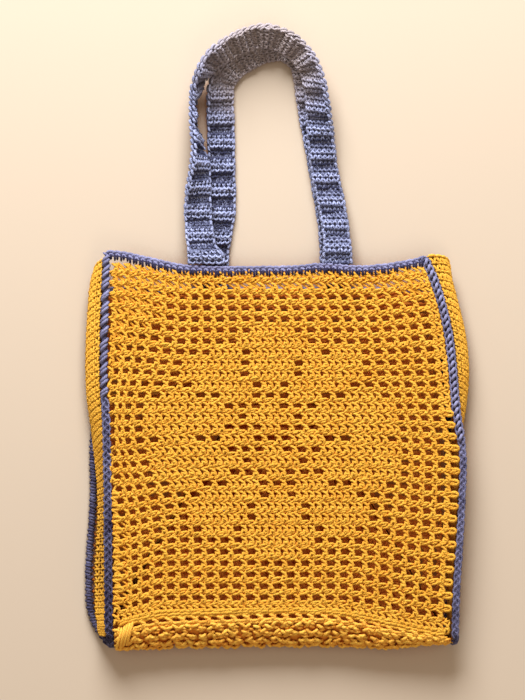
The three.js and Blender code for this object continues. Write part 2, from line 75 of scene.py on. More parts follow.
def smooth(rows, key, column, at):
    """Smooth values of one column of a table at places along another column."""
    place, value = rows[key], rows[column]
    at = np.asarray(at, float)
    order = np.arange(len(place))
    lower = np.maximum(order - 1, 0)
    upper = np.minimum(order + 1, len(place) - 1)
    slope = (value[upper] - value[lower]) / (place[upper] - place[lower])
    k = np.clip(np.searchsorted(place, at, side="right") - 1, 0, len(place) - 2)
    step = place[k + 1] - place[k]
    u = (at - place[k]) / step
    inside = (
        value[k] * (2 * u**3 - 3 * u**2 + 1)
        + value[k + 1] * (3 * u**2 - 2 * u**3)
        + step * (slope[k] * (u**3 - 2 * u**2 + u) + slope[k + 1] * (u**3 - u**2))
    )
    before = value[0] + slope[0] * (at - place[0])
    after = value[-1] + slope[-1] * (at - place[-1])
    return np.where(at < place[0], before, np.where(at > place[-1], after, inside))


def mix(a, b, u):
    return a + (b - a) * u


def size(vectors):
    return np.linalg.norm(vectors, axis=-1)


def unit(vectors):
    return vectors / size(vectors)[..., None]


def clipped(value):
    return np.clip(value, 0, 1)


def points(x, y, z):
    return np.stack(np.broadcast_arrays(x, y, z), axis=-1)


def reach_of(line):
    """Distances along a line through points."""
    return np.concatenate([[0], np.cumsum(size(np.diff(line, axis=0)))])


# Driving sizes of the bag, in millimetres
PANEL_WIDTH = 302.0
PANEL_HEIGHT = 327.0
GUSSET_DEPTH = 55.0
LYING_DEPTH = 26.0
FRONT_SAG = 5.0
MOUTH_STEP = 21.0
FABRIC = 3.0
SEAM_RADIUS = 4.2
EDGING_HALF = 3.8
EDGING_THICKNESS = 5.0
HANDLE_WIDTH = 27.0
HANDLE_THICKNESS = 5.0
HANDLE_RISE = 217.0
HANDLE_SPREAD = 125.0
HANDLE_SHIFT = 6.6
RIB_PITCH = 22.8
CLEARANCE = 0.3
BACK_HEIGHT = FABRIC / 2
FRONT_HEIGHT = BACK_HEIGHT + LYING_DEPTH
BACK_TOP = MOUTH_STEP / PANEL_HEIGHT
BOTTOM_EDGE = 1.083
BOTTOM_FOLD = 1.131

# The panel's mouth and bottom ridge: across is a share of the panel's width, down of its height
MOUTH = table(
    "across down",
    (0, -0.043), (0.06, -0.038), (0.13, -0.023), (0.255, 0), (0.58, 0.002), (0.68, -0.006),
    (0.79, 0.002), (0.915, -0.009), (1, -0.025),
)
RIDGE = table(
    "across down",
    (0, 1.043), (0.05, 1.026), (0.12, 1.011), (0.27, 1.004), (0.64, 1), (0.84, 1.038),
    (0.96, 1.064), (1, 1.067),
)

# Lines of the seams down the two sides, across from the middle of the mouth
LEFT_FRONT = table(
    "down across lift",
    (-0.05, -0.5, 1), (0.29, -0.508, 1), (0.5, -0.499, 1), (0.9, -0.494, 1), (1.045, -0.493, 0.97),
)
LEFT_BACK = table(
    "down across lift",
    (0.05, -0.516, 0), (0.34, -0.53, 0), (0.52, -0.545, 0), (0.66, -0.544, 0), (0.88, -0.558, 0),
    (1, -0.553, 0), (1.045, -0.535, 0),
)
RIGHT_FRONT = table(
    "down across lift",
    (-0.05, 0.492, 1), (0.055, 0.541, 1), (0.2, 0.58, 1), (0.42, 0.604, 1), (0.55, 0.624, 1),
    (0.75, 0.617, 1), (0.95, 0.604, 1), (1.075, 0.6, 0.95),
)
RIGHT_BACK = table(
    "down across lift",
    (0.05, 0.54, 0), (0.18, 0.56, 0), (0.47, 0.579, 0), (0.76, 0.586, 0), (1, 0.582, 0),
    (1.05, 0.575, 0),
)
LEFT_TURN = table("down across lift", (1.08, -0.487, 0.78), (1.097, -0.485, 0.45), (1.082, -0.507, 0.12))
RIGHT_TURN = table("down across lift", (1.082, 0.6, 0.74), (1.088, 0.595, 0.42), (1.078, 0.585, 0.12))

# Fold in the middle of each gusset, outwards from the front seam line as a share of its depth
LEFT_FOLD = table(
    "down out lift",
    (-0.02, 0.17, 0.5), (0.06, 0.27, 0.5), (0.36, 0.3, 0.48), (0.48, 0.2, 0.45), (0.6, 0.05, 0.44),
    (0.74, -0.05, 0.44), (0.92, -0.05, 0.44), (1.035, 0.1, 0.48),
)
RIGHT_FOLD = table(
    "down out lift",
    (-0.03, 0.42, 0.52), (0.05, 0.3, 0.5), (0.3, 0.27, 0.48), (0.42, 0.14, 0.46),
    (0.55, -0.12, 0.45), (0.8, -0.16, 0.45), (1.06, -0.06, 0.48),
)

# Routes of the handles, in shares of the spread, the rise and the panel's height
FRONT_LOOP = table(
    "across up lean lift wide",
    (-0.5, 0, 0, 1, 1.37), (-0.505, 0.035, 0, 0.95, 1.33), (-0.537, 0.08, 0, 0.87, 1.08),
    (-0.564, 0.21, 5, 0.45, 1), (-0.561, 0.32, 30, 0.3, 1), (-0.55, 0.42, 50, 0.24, 1),
    (-0.562, 0.51, 72, 0.14, 1), (-0.602, 0.63, 88, 0.05, 1), (-0.591, 0.735, 84, 0.08, 1),
    (-0.535, 0.823, 70, 0.42, 1), (-0.43, 0.905, 52, 0.7, 1), (-0.242, 0.972, 43, 0.72, 1),
    (-0.053, 1, 40, 0.72, 1), (0.136, 0.963, 41, 0.66, 1), (0.265, 0.884, 45, 0.57, 1),
    (0.326, 0.788, 44, 0.54, 1), (0.352, 0.683, 34, 0.46, 1), (0.371, 0.565, 15, 0.36, 1),
    (0.402, 0.411, 0, 0.3, 1), (0.458, 0.258, 0, 0.4, 1), (0.496, 0.105, 0, 0.75, 1),
    (0.5, 0, 0, 1, 1.15),
)
BACK_LOOP = table(
    "across up lean lift wide",
    (-0.44, 0, 0, 0, 1), (-0.425, 0.158, 0, 0.005, 0.95), (-0.383, 0.333, 0, 0.005, 1),
    (-0.386, 0.508, 0, 0.005, 1), (-0.39, 0.683, 2, 0.005, 1), (-0.394, 0.796, 14, 0.005, 1),
    (-0.388, 0.884, 24, 0.005, 1), (-0.318, 0.955, 22, 0.005, 1), (-0.182, 1.008, 27, 0.005, 1),
    (-0.03, 1.044, 31, 0.005, 1), (0.121, 1.04, 34, 0.005, 1), (0.235, 0.975, 34, 0.005, 1),
    (0.273, 0.867, 30, 0.005, 1), (0.311, 0.748, 16, 0.005, 1), (0.356, 0.617, 4, 0.005, 1),
    (0.409, 0.442, 0, 0.005, 1), (0.462, 0.245, 0, 0.005, 1), (0.485, 0, 0, 0, 1.05),
)

# The filet mesh: cells across and down, and a quarter of its flower, charted from the middle cell
CELLS_ACROSS = 25
CELLS_DOWN = 30
FLOWER_MIDDLE = (12, 15)
FLOWER_QUARTER = """
..XX..XX.
X...XXXXX
XX.XXXXXX
X...XXXXX
..XX..XX.
X.XXXX...
XX.XXXX..
XX.XXXX..
XXX.XX...
XXX......
XX.......
""".split()
SLIPPED_ROW = 7
SLIPPED_CELLS = "........XX.XXXXX.XX......"

# Middles of the mesh's columns as shares between the seams
COLUMNS = table(
    "column top middle foot",
    (0, 0.018, -0.006, 0.012), (0.5, 0.037, 0.006, 0.034), (2.5, 0.109, 0.047, 0.096),
    (4.5, 0.19, 0.121, 0.171), (8.5, 0.338, 0.304, 0.326), (12.5, 0.495, 0.466, 0.486),
    (16.5, 0.648, 0.634, 0.642), (20.5, 0.797, 0.817, 0.798), (22.5, 0.876, 0.884, 0.876),
    (24.5, 0.957, 0.955, 0.952), (25, 0.976, 0.974, 0.971),
)

# Levels of the mesh's rows as shares of the panel's height
ROWS = table(
    "row left middle right",
    (0.5, -0.002, 0.0203, 0.0087), (3.5, 0.0915, 0.1171, 0.1002), (9.5, 0.3, 0.3088, 0.305),
    (15.5, 0.505, 0.4962, 0.507), (21.5, 0.715, 0.6938, 0.712), (29.5, 0.988, 0.9616, 1.0104),
)


def seam_height(lift):
    return mix(SEAM_RADIUS, FRONT_HEIGHT, lift)


def side_point(line, down):
    """Point on a side line at a share of the way down."""
    across = PANEL_WIDTH * smooth(line, "down", "across", down)
    return points(across, -PANEL_HEIGHT * down, seam_height(smooth(line, "down", "lift", down)))


def edge_beside(line, down, inward):
    """Where a sheet's edge lies beside a seam."""
    here = side_point(line, down)
    run = side_point(line, down + 0.01) - here
    slant = np.hypot(run[..., 0], run[..., 1]) / np.abs(run[..., 1])
    return here[..., 0] + inward * (SEAM_RADIUS + CLEARANCE) * slant


def back_edging_ends():
    left = edge_beside(LEFT_BACK, BACK_TOP, 1) + 1
    right = edge_beside(RIGHT_BACK, BACK_TOP, -1) - 1
    return left, right


# The frame's origin lies below the middle of the whole bag, and the tables' at the middle of the mouth
EDGING_LOW, EDGING_HIGH = (np.array(corner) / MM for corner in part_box("back_top_edging"))
EDGING_LEVEL = (EDGING_LOW[1] + EDGING_HIGH[1]) / 2
SHIFT = np.array([EDGING_LOW[0] - back_edging_ends()[0], EDGING_LEVEL + MOUTH_STEP, 0])


def sag(across, down):
    """How far the front panel hangs below its seams."""
    hang = np.sin(np.pi * clipped(across)) ** 0.8
    return FRONT_SAG * hang * (0.5 + 0.5 * np.sin(np.pi * clipped(down)))


def front_surface(across, level):
    """Point of the front panel at a share across and a share of its height."""
    left = edge_beside(LEFT_FRONT, level, 1)
    right = edge_beside(RIGHT_FRONT, level, -1)
    return points(mix(left, right, across), -PANEL_HEIGHT * level, FRONT_HEIGHT - sag(across, level))


def falloff(share):
    return (1 + np.cos(np.pi * clipped(share))) / 2


# The row at which the mesh bulges to its sides, and over how many rows
WAIST_ROW, WAIST_REACH = 14.5, 5.5

# Share of the width over which the rows bend beside a seam, at the mouth and at the foot
LEFT_BEND, RIGHT_BEND = (0.27, 0.16), (0.2, 0.36)
MESH_ENDS = (-0.007, 1.007)

# The back mesh: cells beside its ends, share of the height below its foot, and its lift
BACK_MARGIN, BACK_TUCK, BACK_LIFT = 0.4, 0.005, 0.6


def front_share(column, row):
    """Share of the way between the seams at a place counted in the front mesh's cells."""
    top, middle, foot = (smooth(COLUMNS, "column", name, column) for name in ("top", "middle", "foot"))
    ends = mix(top, foot, clipped(row / CELLS_DOWN))
    return mix(ends, middle, np.exp(-(((row - WAIST_ROW) / WAIST_REACH) ** 2)))


def front_net(column, row):
    """Middle of the front mesh at a place counted in its cells."""
    down = clipped(row / CELLS_DOWN)
    across = np.clip(front_share(column, row), *MESH_ENDS)
    counted = np.minimum(row, CELLS_DOWN)
    left, middle, right = (smooth(ROWS, "row", name, counted) for name in ("left", "middle", "right"))
    level = (
        middle
        + (left - middle) * falloff(across / mix(*LEFT_BEND, down))
        + (right - middle) * falloff((1 - across) / mix(*RIGHT_BEND, down))
    )
    ridge = smooth(RIDGE, "across", "down", across)
    return front_surface(across, mix(level, ridge, np.maximum(row - CELLS_DOWN, 0)))


def back_net(column, row):
    """Middle of the back mesh, flat on the floor."""
    top = BACK_TOP + EDGING_HALF / PANEL_HEIGHT
    level = mix(top, BOTTOM_EDGE - BACK_TUCK, row / CELLS_DOWN)
    left = edge_beside(LEFT_BACK, level, 1)
    right = edge_beside(RIGHT_BACK, level, -1)
    across = (column + BACK_MARGIN) / (CELLS_ACROSS + 2 * BACK_MARGIN)
    return points(mix(left, right, across), -PANEL_HEIGHT * level, BACK_HEIGHT + BACK_LIFT)


def raised(surface, outward):
    """Turns a surface of two shares into a place at a height above it."""

    def at(s, t, h):
        step = 0.02
        s, t, h = np.broadcast_arrays(s, t, h)
        here = surface(s, t)
        normal = unit(np.cross(surface(s + step, t) - here, surface(s, t + step) - here))
        return here + (outward * h)[..., None] * normal

    return at


# How far the bottom strip droops at its left end and is cut short at its right, and over which width
DROOP, DROOP_REACH = 0.012, 0.45
CUT_SHORT, CUT_REACH = 0.05, 0.2

# Its shelf beyond the ridge, its roll, and how far it reaches into the seams' turns
SHELF, SHELF_RISE = 0.05, 2.0
ROLL_INSET, ROLL_HEIGHT = 0.002, 15.0
TURN_OVERLAP = 0.5
RIDGE_HOLD = 0.25


def turn_edge(turn, side, turned):
    """Where the bottom strip ends beside the turn of a seam."""
    across = np.interp(turned, (0.3, 0.65, 0.95), turn["across"])
    return across * PANEL_WIDTH - side * (SEAM_RADIUS - TURN_OVERLAP)


def bottom_surface(across, turned):
    """Bottom strip: from the ridge it runs on level, then rolls down and under to the floor."""
    level = smooth(RIDGE, "across", "down", across)
    ridge = front_surface(across, level)
    w = 1 - turned
    shares = (w**3, 3 * w * w * turned, 3 * w * turned**2, turned**3)
    slack = DROOP * clipped(1 - across / DROOP_REACH) - CUT_SHORT * falloff((1 - across) / CUT_REACH)
    downs = (level, level + SHELF + slack / 3, BOTTOM_FOLD - ROLL_INSET + slack, BOTTOM_EDGE)
    heights = (ridge[..., 2], ridge[..., 2] + SHELF_RISE, ROLL_HEIGHT, BACK_HEIGHT)
    y = -PANEL_HEIGHT * sum(share * down for share, down in zip(shares, downs))
    z = sum(share * height for share, height in zip(shares, heights))
    left, right = (turn_edge(*line, turned) for line in ((LEFT_TURN, -1), (RIGHT_TURN, 1)))
    x = mix(ridge[..., 0], mix(left, right, across), clipped(turned / RIDGE_HOLD))
    return points(x, y, z)


def evenly(surface):
    """The shares along a surface's second way that are evenly spaced in its middle."""
    share = np.linspace(0, 1, 200)
    reach = reach_of(surface(np.full(len(share), 0.5), share))
    return reach / reach[-1], share


# A gusset starts below its seams' ends, its edges reach into them, and its foot is round
GUSSET_INSET, GUSSET_MOUTH = 0.02, 0.12
GUSSET_TUCK = 0.8
FOOT_ROUNDING, MOST_ROUNDING = 12, 0.97


def gusset_surface(front_line, fold_line, back_line, outward):
    """Gusset: s runs from the front seam to the back seam, t from the mouth to its foot."""
    front, back = front_line["down"], back_line["down"]
    open_share = 0.2 if outward > 0 else 0.8

    def section(s, t):
        a = mix(front[0] + GUSSET_INSET, front[-1], t)
        b = mix(back[0] + GUSSET_INSET, back[-1], t)
        m = mix(a, b, 0.5 * np.clip(t / GUSSET_MOUTH, open_share, 1))
        near, far = side_point(front_line, a), side_point(back_line, b)
        out = outward * GUSSET_DEPTH * smooth(fold_line, "down", "out", m)
        lift = seam_height(smooth(fold_line, "down", "lift", m))
        fold = points(side_point(front_line, m)[..., 0] + out, -PANEL_HEIGHT * m, lift)
        bend = 2 * fold - (near + far) / 2
        length = size(near - fold) + size(far - fold)
        cut = (SEAM_RADIUS - GUSSET_TUCK) / length
        u = mix(cut, 1 - cut, s)[..., None]
        return (1 - u) ** 2 * near + 2 * u * (1 - u) * bend + u**2 * far

    def at(s, t):
        s, t = np.broadcast_arrays(s, t)
        beyond = np.clip((t - 1) * FOOT_ROUNDING, 0, MOST_ROUNDING)
        held = np.minimum(t, 1)
        place = section(s, held)
        near, far = section(np.zeros_like(s), held), section(np.ones_like(s), held)
        centre = (near + far) / 2
        radius = size(near - far) / 2
        narrow = np.sqrt(1 - beyond**2)[..., None]
        drop = points(np.zeros_like(s), -radius * beyond, np.zeros_like(s))
        return centre + (place - centre) * narrow + drop

    return at


def route(line):
    """A table of a line through points, by the distance along it."""
    return {"at": reach_of(line), "x": line[:, 0], "y": line[:, 1], "z": line[:, 2]}


def along(line, at):
    return points(*(smooth(line, "at", axis, at) for axis in "xyz"))


def rope(line, reference):
    """Places round a line: angle from its outer side, in turns, and distance from its middle."""
    reference = np.array(reference, float)

    def at(place, angle, radius):
        step = 0.5
        centre = along(line, place)
        run = unit(along(line, place + step) - along(line, place - step))
        side = unit(reference - np.sum(run * reference, axis=-1, keepdims=True) * run)
        outer = np.cross(run, side)
        turn = 2 * np.pi * angle
        return centre + radius[..., None] * (
            np.sin(turn)[..., None] * side + np.cos(turn)[..., None] * outer
        )

    return at


def seam_line(front_line, turn, back_line):
    down = np.linspace(front_line["down"][0], front_line["down"][-1], 25)
    up = np.linspace(back_line["down"][-1], back_line["down"][0], 23)
    corners = points(PANEL_WIDTH * turn["across"], -PANEL_HEIGHT * turn["down"], seam_height(turn["lift"]))
    parts = [side_point(front_line, down), corners, side_point(back_line, up)]
    return route(np.concatenate(parts))


# How far the front edging reaches over the seams at its left and right end
EDGING_REACH = (4, 3)
FRONT_EDGING_SHIFT, BACK_EDGING_LIFT = 0.2, 0.4
FOOT_WIDENING = 1.25
FOOT_OVERLAP = 1.5


def front_edging_line():
    across = np.linspace(0, 1, 21)
    level = smooth(MOUTH, "across", "down", across)
    left = edge_beside(LEFT_FRONT, level, 1) - EDGING_REACH[0]
    right = edge_beside(RIGHT_FRONT, level, -1) + EDGING_REACH[1]
    height = FRONT_HEIGHT - sag(across, 0)
    return route(points(mix(left, right, across), -PANEL_HEIGHT * level + FRONT_EDGING_SHIFT, height))


def back_edging_line():
    left, right = back_edging_ends()
    x = np.linspace(left, right, 11)
    return route(points(x, -MOUTH_STEP, EDGING_THICKNESS / 2 + BACK_EDGING_LIFT))


def foot_level(across):
    left, right = (side_point(line, 0.0)[0] for line in (LEFT_FRONT, RIGHT_FRONT))
    reach = HANDLE_WIDTH / 2 * FOOT_WIDENING
    offsets = np.array([-reach, 0, reach])
    share = (HANDLE_SHIFT + HANDLE_SPREAD * across + offsets - left) / (right - left)
    return np.max(-PANEL_HEIGHT * smooth(MOUTH, "across", "down", share)) + EDGING_HALF + CLEARANCE


FRONT_FOOT_LEVEL = max(foot_level(-0.5), foot_level(0.5)) - FOOT_OVERLAP
BACK_FOOT_LEVEL = -MOUTH_STEP + EDGING_HALF + CLEARANCE
FOOT_HEIGHT = FRONT_HEIGHT - FRONT_SAG / 2

# A handle turns from upright to its own way over this length from each foot
FOOT_RUN = 40
ORDER_STEP = 0.05

# Rows of stitches lie level across the bag where a handle runs this steeply, up to a slant
STEEP, STEEPER = 0.85, 0.1
MOST_SLANT = 0.4


class Band:
    """A handle's band: its length, and places on it by the distance along, across and above."""

    def __init__(self, loop, level):
        self.loop = {**loop, "order": np.arange(len(loop["across"]), dtype=float)}
        self.level = level
        order = np.linspace(0, len(loop["across"]) - 1, 400)
        centre = self.station(order)[0]
        reach = reach_of(centre)
        self.orders, self.reach, self.length = order, reach, reach[-1]

    def station(self, order):
        across, up, lean, lift, wide = (
            smooth(self.loop, "order", name, order) for name in ("across", "up", "lean", "lift", "wide")
        )
        lean = np.radians(lean)
        half = HANDLE_WIDTH / 2 * wide
        rest = HANDLE_THICKNESS / 2 * np.cos(lean) + half * np.sin(lean)
        height = rest + lift * (FOOT_HEIGHT - HANDLE_THICKNESS / 2)
        centre = points(HANDLE_SHIFT + HANDLE_SPREAD * across, self.level + HANDLE_RISE * up, height)
        return centre, lean, half

    def from_feet(self, place):
        """0 at the band's ends, and 1 where it has turned to its own way."""
        return clipped(np.minimum(place, self.length - place) / FOOT_RUN)

    def level_with(self, across, place):
        """Places along the band whose row of stitches lies straight across the bag where it can."""
        order = np.interp(place, self.reach, self.orders)
        centre, _, half = self.station(order)
        run = self.station(order + ORDER_STEP)[0] - centre
        steep = np.abs(run[..., 1]) / size(run)
        slant = run[..., 0] / np.where(np.abs(run[..., 1]) > 0.1, run[..., 1], 1)
        slant = np.clip(slant, -MOST_SLANT, MOST_SLANT)
        shift = slant * half * across * clipped((steep - STEEP) / STEEPER)
        return np.clip(place + shift * self.from_feet(place), 0, self.length)

    def at(self, across, place, height):
        """across goes from -1 to 1 over the band's width, and 1 is its inner edge."""
        across, place, height = np.broadcast_arrays(across, place, height)
        order = np.interp(place, self.reach, self.orders)
        centre, lean, half = self.station(order)
        run = unit(self.station(order + ORDER_STEP)[0] - self.station(order - ORDER_STEP)[0])
        straight = points(0 * place, np.sign(run[..., 1]), 0 * place)
        run = unit(mix(straight, run, self.from_feet(place)[..., None]))
        level = unit(np.cross(run, np.array([0.0, 0.0, 1.0])))
        upright = np.cross(level, run)
        side = np.cos(lean)[..., None] * level - np.sin(lean)[..., None] * upright
        face = np.cross(side, run)
        return centre + (across * half)[..., None] * side + height[..., None] * face


def placed(name, data):
    """A new object in the scene."""
    made = bpy.data.objects.new(name, data)
    bpy.context.scene.collection.objects.link(made)
    return made


# Yarn: a strand's tone is how many steps lighter than the others it is, and below 0 darker; tones differ
# at random, and many are painted light and painted shade
class Yarn:
    """Collects strands as tubes, then makes one mesh of them."""

    def __init__(self):
        self.vertices, self.loops, self.sizes, self.strands, self.tones = [], [], [], [], []
        self.count = 0

    def add(self, paths, radius, sides=5, taper=0.6, tone=None):
        """Adds one tube for each path, paths being an array of strands, points and coordinates."""
        n, k, _ = paths.shape
        run = unit(np.gradient(paths, axis=1))
        least = np.argmin(np.abs(run[:, 0]), axis=1)
        up = np.eye(3)[least]
        ups = []
        for j in range(k):
            up = unit(up - np.sum(up * run[:, j], axis=1, keepdims=True) * run[:, j])
            ups.append(up)
        up = np.stack(ups, axis=1)
        side = np.cross(up, run)
        turn = 2 * np.pi * np.arange(sides) / sides
        width = np.full(k, float(radius))
        width[[0, -1]] *= taper
        c, s = np.cos(turn)[None, None, :, None], np.sin(turn)[None, None, :, None]
        rings = paths[:, :, None, :] + width[None, :, None, None] * (
            c * side[:, :, None, :] + s * up[:, :, None, :]
        )
        self.vertices.append(rings.reshape(-1, 3))
        steps = size(np.diff(paths, axis=1))
        reach = np.concatenate([np.zeros((n, 1)), np.cumsum(steps, axis=1)], axis=1)
        start = rng.uniform(0, 6, (n, 1))
        strand = np.broadcast_arrays(np.cos(turn), np.sin(turn), (reach + start)[:, :, None])
        self.strands.append(np.stack(strand, axis=-1).reshape(-1, 3))
        tones = rng.normal(0, 1, n) if tone is None else tone
        self.tones.append(np.repeat(tones, k * sides))
        grid = np.arange(n * k * sides).reshape(n, k, sides) + self.count
        ahead = np.roll(grid, -1, axis=2)
        quads = np.stack([grid[:, :-1], ahead[:, :-1], ahead[:, 1:], grid[:, 1:]], axis=-1)
        self.loops += [quads.reshape(-1), grid[:, 0, ::-1].reshape(-1), grid[:, -1].reshape(-1)]
        self.sizes += [np.full(n * (k - 1) * sides, 4), np.full(2 * n, sides)]
        self.count += n * k * sides

    def add_sheet(self, grid, tone):
        """Adds one side of a thin sheet from a grid of points."""
        rows, columns, _ = grid.shape
        index = np.arange(rows * columns).reshape(rows, columns) + self.count
        quads = np.stack([index[:-1, :-1], index[1:, :-1], index[1:, 1:], index[:-1, 1:]], axis=-1)
        self.vertices.append(grid.reshape(-1, 3))
        self.strands.append(np.tile([1.0, 0.0, 0.0], (rows * columns, 1)))
        self.tones.append(np.full(rows * columns, tone))
        self.loops.append(quads.reshape(-1))
        self.sizes.append(np.full((rows - 1) * (columns - 1), 4))
        self.count += rows * columns

    def make(self, name, material, slot, *nodes):
        """The mesh object, which stands for the named nodes."""
        mesh = bpy.data.meshes.new(name)
        parts = (self.vertices, self.loops, self.sizes, self.strands, self.tones)
        vertices, loops, sizes, strands, tones = (np.concatenate(part) for part in parts)
        vertices = (vertices + SHIFT) * MM
        mesh.vertices.add(len(vertices))
        mesh.vertices.foreach_set("co", vertices.astype(np.float32).ravel())
        mesh.loops.add(len(loops))
        mesh.loops.foreach_set("vertex_index", loops.astype(np.int32))
        mesh.polygons.add(len(sizes))
        starts = np.concatenate([[0], np.cumsum(sizes)[:-1]])
        mesh.polygons.foreach_set("loop_start", starts.astype(np.int32))
        mesh.update(calc_edges=True)
        mesh.validate()
        mesh.polygons.foreach_set("use_smooth", np.ones(len(mesh.polygons), bool))
        strand = mesh.attributes.new("strand", "FLOAT_VECTOR", "POINT")
        strand.data.foreach_set("vector", strands.astype(np.float32).ravel())
        tone = mesh.attributes.new("tone", "FLOAT", "POINT")
        tone.data.foreach_set("value", tones.astype(np.float32))
        mesh.materials.append(material)
        piece = placed(name, mesh)
        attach(piece, "root")
        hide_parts(*nodes)
        triangles = int(np.sum(sizes - 2))
        print(f"{name}: {triangles} triangles")
        return triangles


def strands(shape, count):
    """The x, y and h along one shape of strand, once for each place where it is set down."""
    return (np.tile(shape[name], (count, 1)) for name in "xyh")


def stray(spread, count, middle=0.0):
    """A random number for each strand of a kind."""
    return rng.normal(middle, spread, (count, 1))


# Strands of a post: x in cells from its middle, y in rows from its top, h in millimetres
POST_LEAD = strand_of(
    (-0.38, 0.1, 0.6), (-0.26, 0.19, 1.6), (-0.12, 0.29, 2), (0.02, 0.42, 1.9), (0.11, 0.6, 1.5),
    (0.11, 0.82, 1.6), (0.03, 1.02, 0.8),
)
POST_LEG = strand_of(
    (0.14, -0.02, 0.6), (0.13, 0.15, 1), (0.05, 0.33, 0.6), (-0.08, 0.5, 0.8), (-0.15, 0.68, 1.5),
    (-0.18, 0.84, 1.9), (-0.26, 0.98, 1),
)
POST_WRAP = strand_of(
    (-0.18, 0.54, -1), (-0.16, 0.55, 0.8), (-0.03, 0.64, 2.3), (0.13, 0.72, 1.2), (0.18, 0.71, -1),
)
POST_SHAPES = (POST_LEAD, POST_LEG, POST_WRAP)

# Strands of the chain between two rows: x in cells from its start, y in rows from the chain's middle
CHAIN_UPPER = strand_of(
    (-0.15, 0, 0.2), (0, -0.09, 1.3), (0.2, -0.16, 1.8), (0.42, -0.2, 1.7), (0.6, -0.2, 1),
    (0.75, -0.15, 0),
)
CHAIN_LOWER = strand_of(
    (0.05, 0.23, 0), (0.25, 0.17, 1.2), (0.5, 0.11, 1.5), (0.75, 0.07, 1.2), (0.95, 0.04, 0),
)
CHAIN_TWIST = strand_of((-0.02, 0.08, 0.8), (0.14, 0.03, 2), (0.32, -0.05, 2.1), (0.47, -0.12, 1))
CHAIN_KNOT = strand_of((0.5, 0.16, 0.2), (0.6, 0.06, 1.5), (0.7, -0.08, 1.7), (0.76, -0.22, 0.6))
CHAIN_CORE = strand_of((-0.55, 0, 0), (-0.2, 0.02, 0.2), (0.2, 0, 0.2), (0.55, 0.02, 0))
CHAIN_TWIN = {**CHAIN_TWIST, "x": CHAIN_TWIST["x"] + 0.48}
COARSE_CHAIN = ((CHAIN_UPPER, 1.6, 5), (CHAIN_LOWER, 1.6, 5))
FULL_CHAIN = (
    (CHAIN_UPPER, 1.35, 5),
    (CHAIN_LOWER, 1.35, 5),
    (CHAIN_TWIST, 1.15, 5),
    (CHAIN_TWIN, 1.15, 5),
    (CHAIN_KNOT, 1.25, 5),
    (CHAIN_CORE, 1.7, 4),
)


def chart():
    """True where a cell of the front mesh is filled, by row and column."""
    filled = np.zeros((CELLS_DOWN, CELLS_ACROSS), bool)
    for row in range(CELLS_DOWN):
        v = abs(row - FLOWER_MIDDLE[1])
        for column in range(CELLS_ACROSS):
            u = abs(column - FLOWER_MIDDLE[0])
            if v < len(FLOWER_QUARTER) and u < len(FLOWER_QUARTER[0]):
                filled[row, column] = FLOWER_QUARTER[v][u] == "X"
    filled[SLIPPED_ROW] = [mark == "X" for mark in SLIPPED_CELLS]
    return filled


# How far a stitch strays from its place, how far it leans, and how far its strands stray
POST_STRAYS = (0.02, 0.03, 0.012, 0.02)
SOLID_STRAYS = (0.04, 0, 0.03, 0.04)


def posts(yarn, cloth, columns, rows, radius, shapes, tone=0.0, sides=5, strays=POST_STRAYS):
    """Double crochet posts at the given columns and rows of a cloth."""
    columns, rows = np.broadcast_arrays(columns, rows)
    n = len(columns)
    whole, leaning, across, down = strays
    shift = stray(whole, n)
    lean = stray(leaning, n) if leaning else 0
    for shape in shapes:
        x, y, h = strands(shape, n)
        t = rows[:, None] + y
        s = columns[:, None] + x + shift + lean * (t - rows[:, None] - 0.5) + stray(across, n)
        t = t + stray(down, n)
        h = h + stray(0.15, n)
        yarn.add(cloth(s, t, h), radius, sides, tone=tone + rng.normal(0, 1, n))


def chains(yarn, cloth, starts, rows, width, shapes, tone=0.0):
    """Slanted strands of the chains along the rows of a cloth, one set for each width."""
    starts, rows = np.broadcast_arrays(starts, rows)
    n = len(starts)
    slope = stray(0.04, n, -0.02)
    for shape, radius, sides in shapes:
        x, y, h = strands(shape, n)
        s = starts[:, None] + width * (x + stray(0.04, n))
        t = rows[:, None] + y * stray(0.15, n, 1) + slope * (x - 0.4)
        h = h + stray(0.25, n)
        yarn.add(cloth(s, t, h), radius, sides, tone=tone + rng.normal(0, 1, n))


def every(rows, columns):
    """Row and column of every place in a field."""
    return np.nonzero(np.ones((rows, columns), bool))


YARN_RADIUS = 1.4

# Tone where a hole is closed
SLACK_TONE = -1.5


def front_posts(yarn):
    row, column = every(CELLS_DOWN, CELLS_ACROSS + 1)
    extra_row, extra_column = np.nonzero(chart())
    columns = np.concatenate([column, extra_column + 0.5])
    rows = np.concatenate([row, extra_row])
    tone = SLACK_TONE * slackness(columns - 0.5, rows)
    posts(yarn, raised(front_net, -1), columns, rows, YARN_RADIUS, POST_SHAPES, tone)


# A loose strand that lies across a hole where the mesh is slack
SLACK = strand_of(
    (-0.42, 0.05, 0), (-0.25, 0.25, 0.4), (0.02, 0.5, 0.3), (0.25, 0.72, 0.4), (0.42, 0.95, 0),
)

# From how slack a cell it lies there, and how far beside the hole's middle
SLACK_STRANDS = ((0.25, 0.05), (0.8, -0.2))

# A row's end turns back in a loop beside the seam
RIM_LOOP = strand_of(
    (-0.3, -0.12, 0.8), (0, -0.18, 2), (0.22, -0.17, 2.3), (0.34, -0.06, 2), (0.34, 0.08, 1.8),
    (0.22, 0.17, 2), (0, 0.18, 1.8), (-0.3, 0.14, 0.6),
)

# The loops' column and first row, and how far below the last row the ridge's chains lie
LEFT_LOOPS, RIGHT_LOOPS = (0.0, 20), (CELLS_ACROSS + 0.4, 13)
RIDGE_CHAINS = (0.92, 1.22)


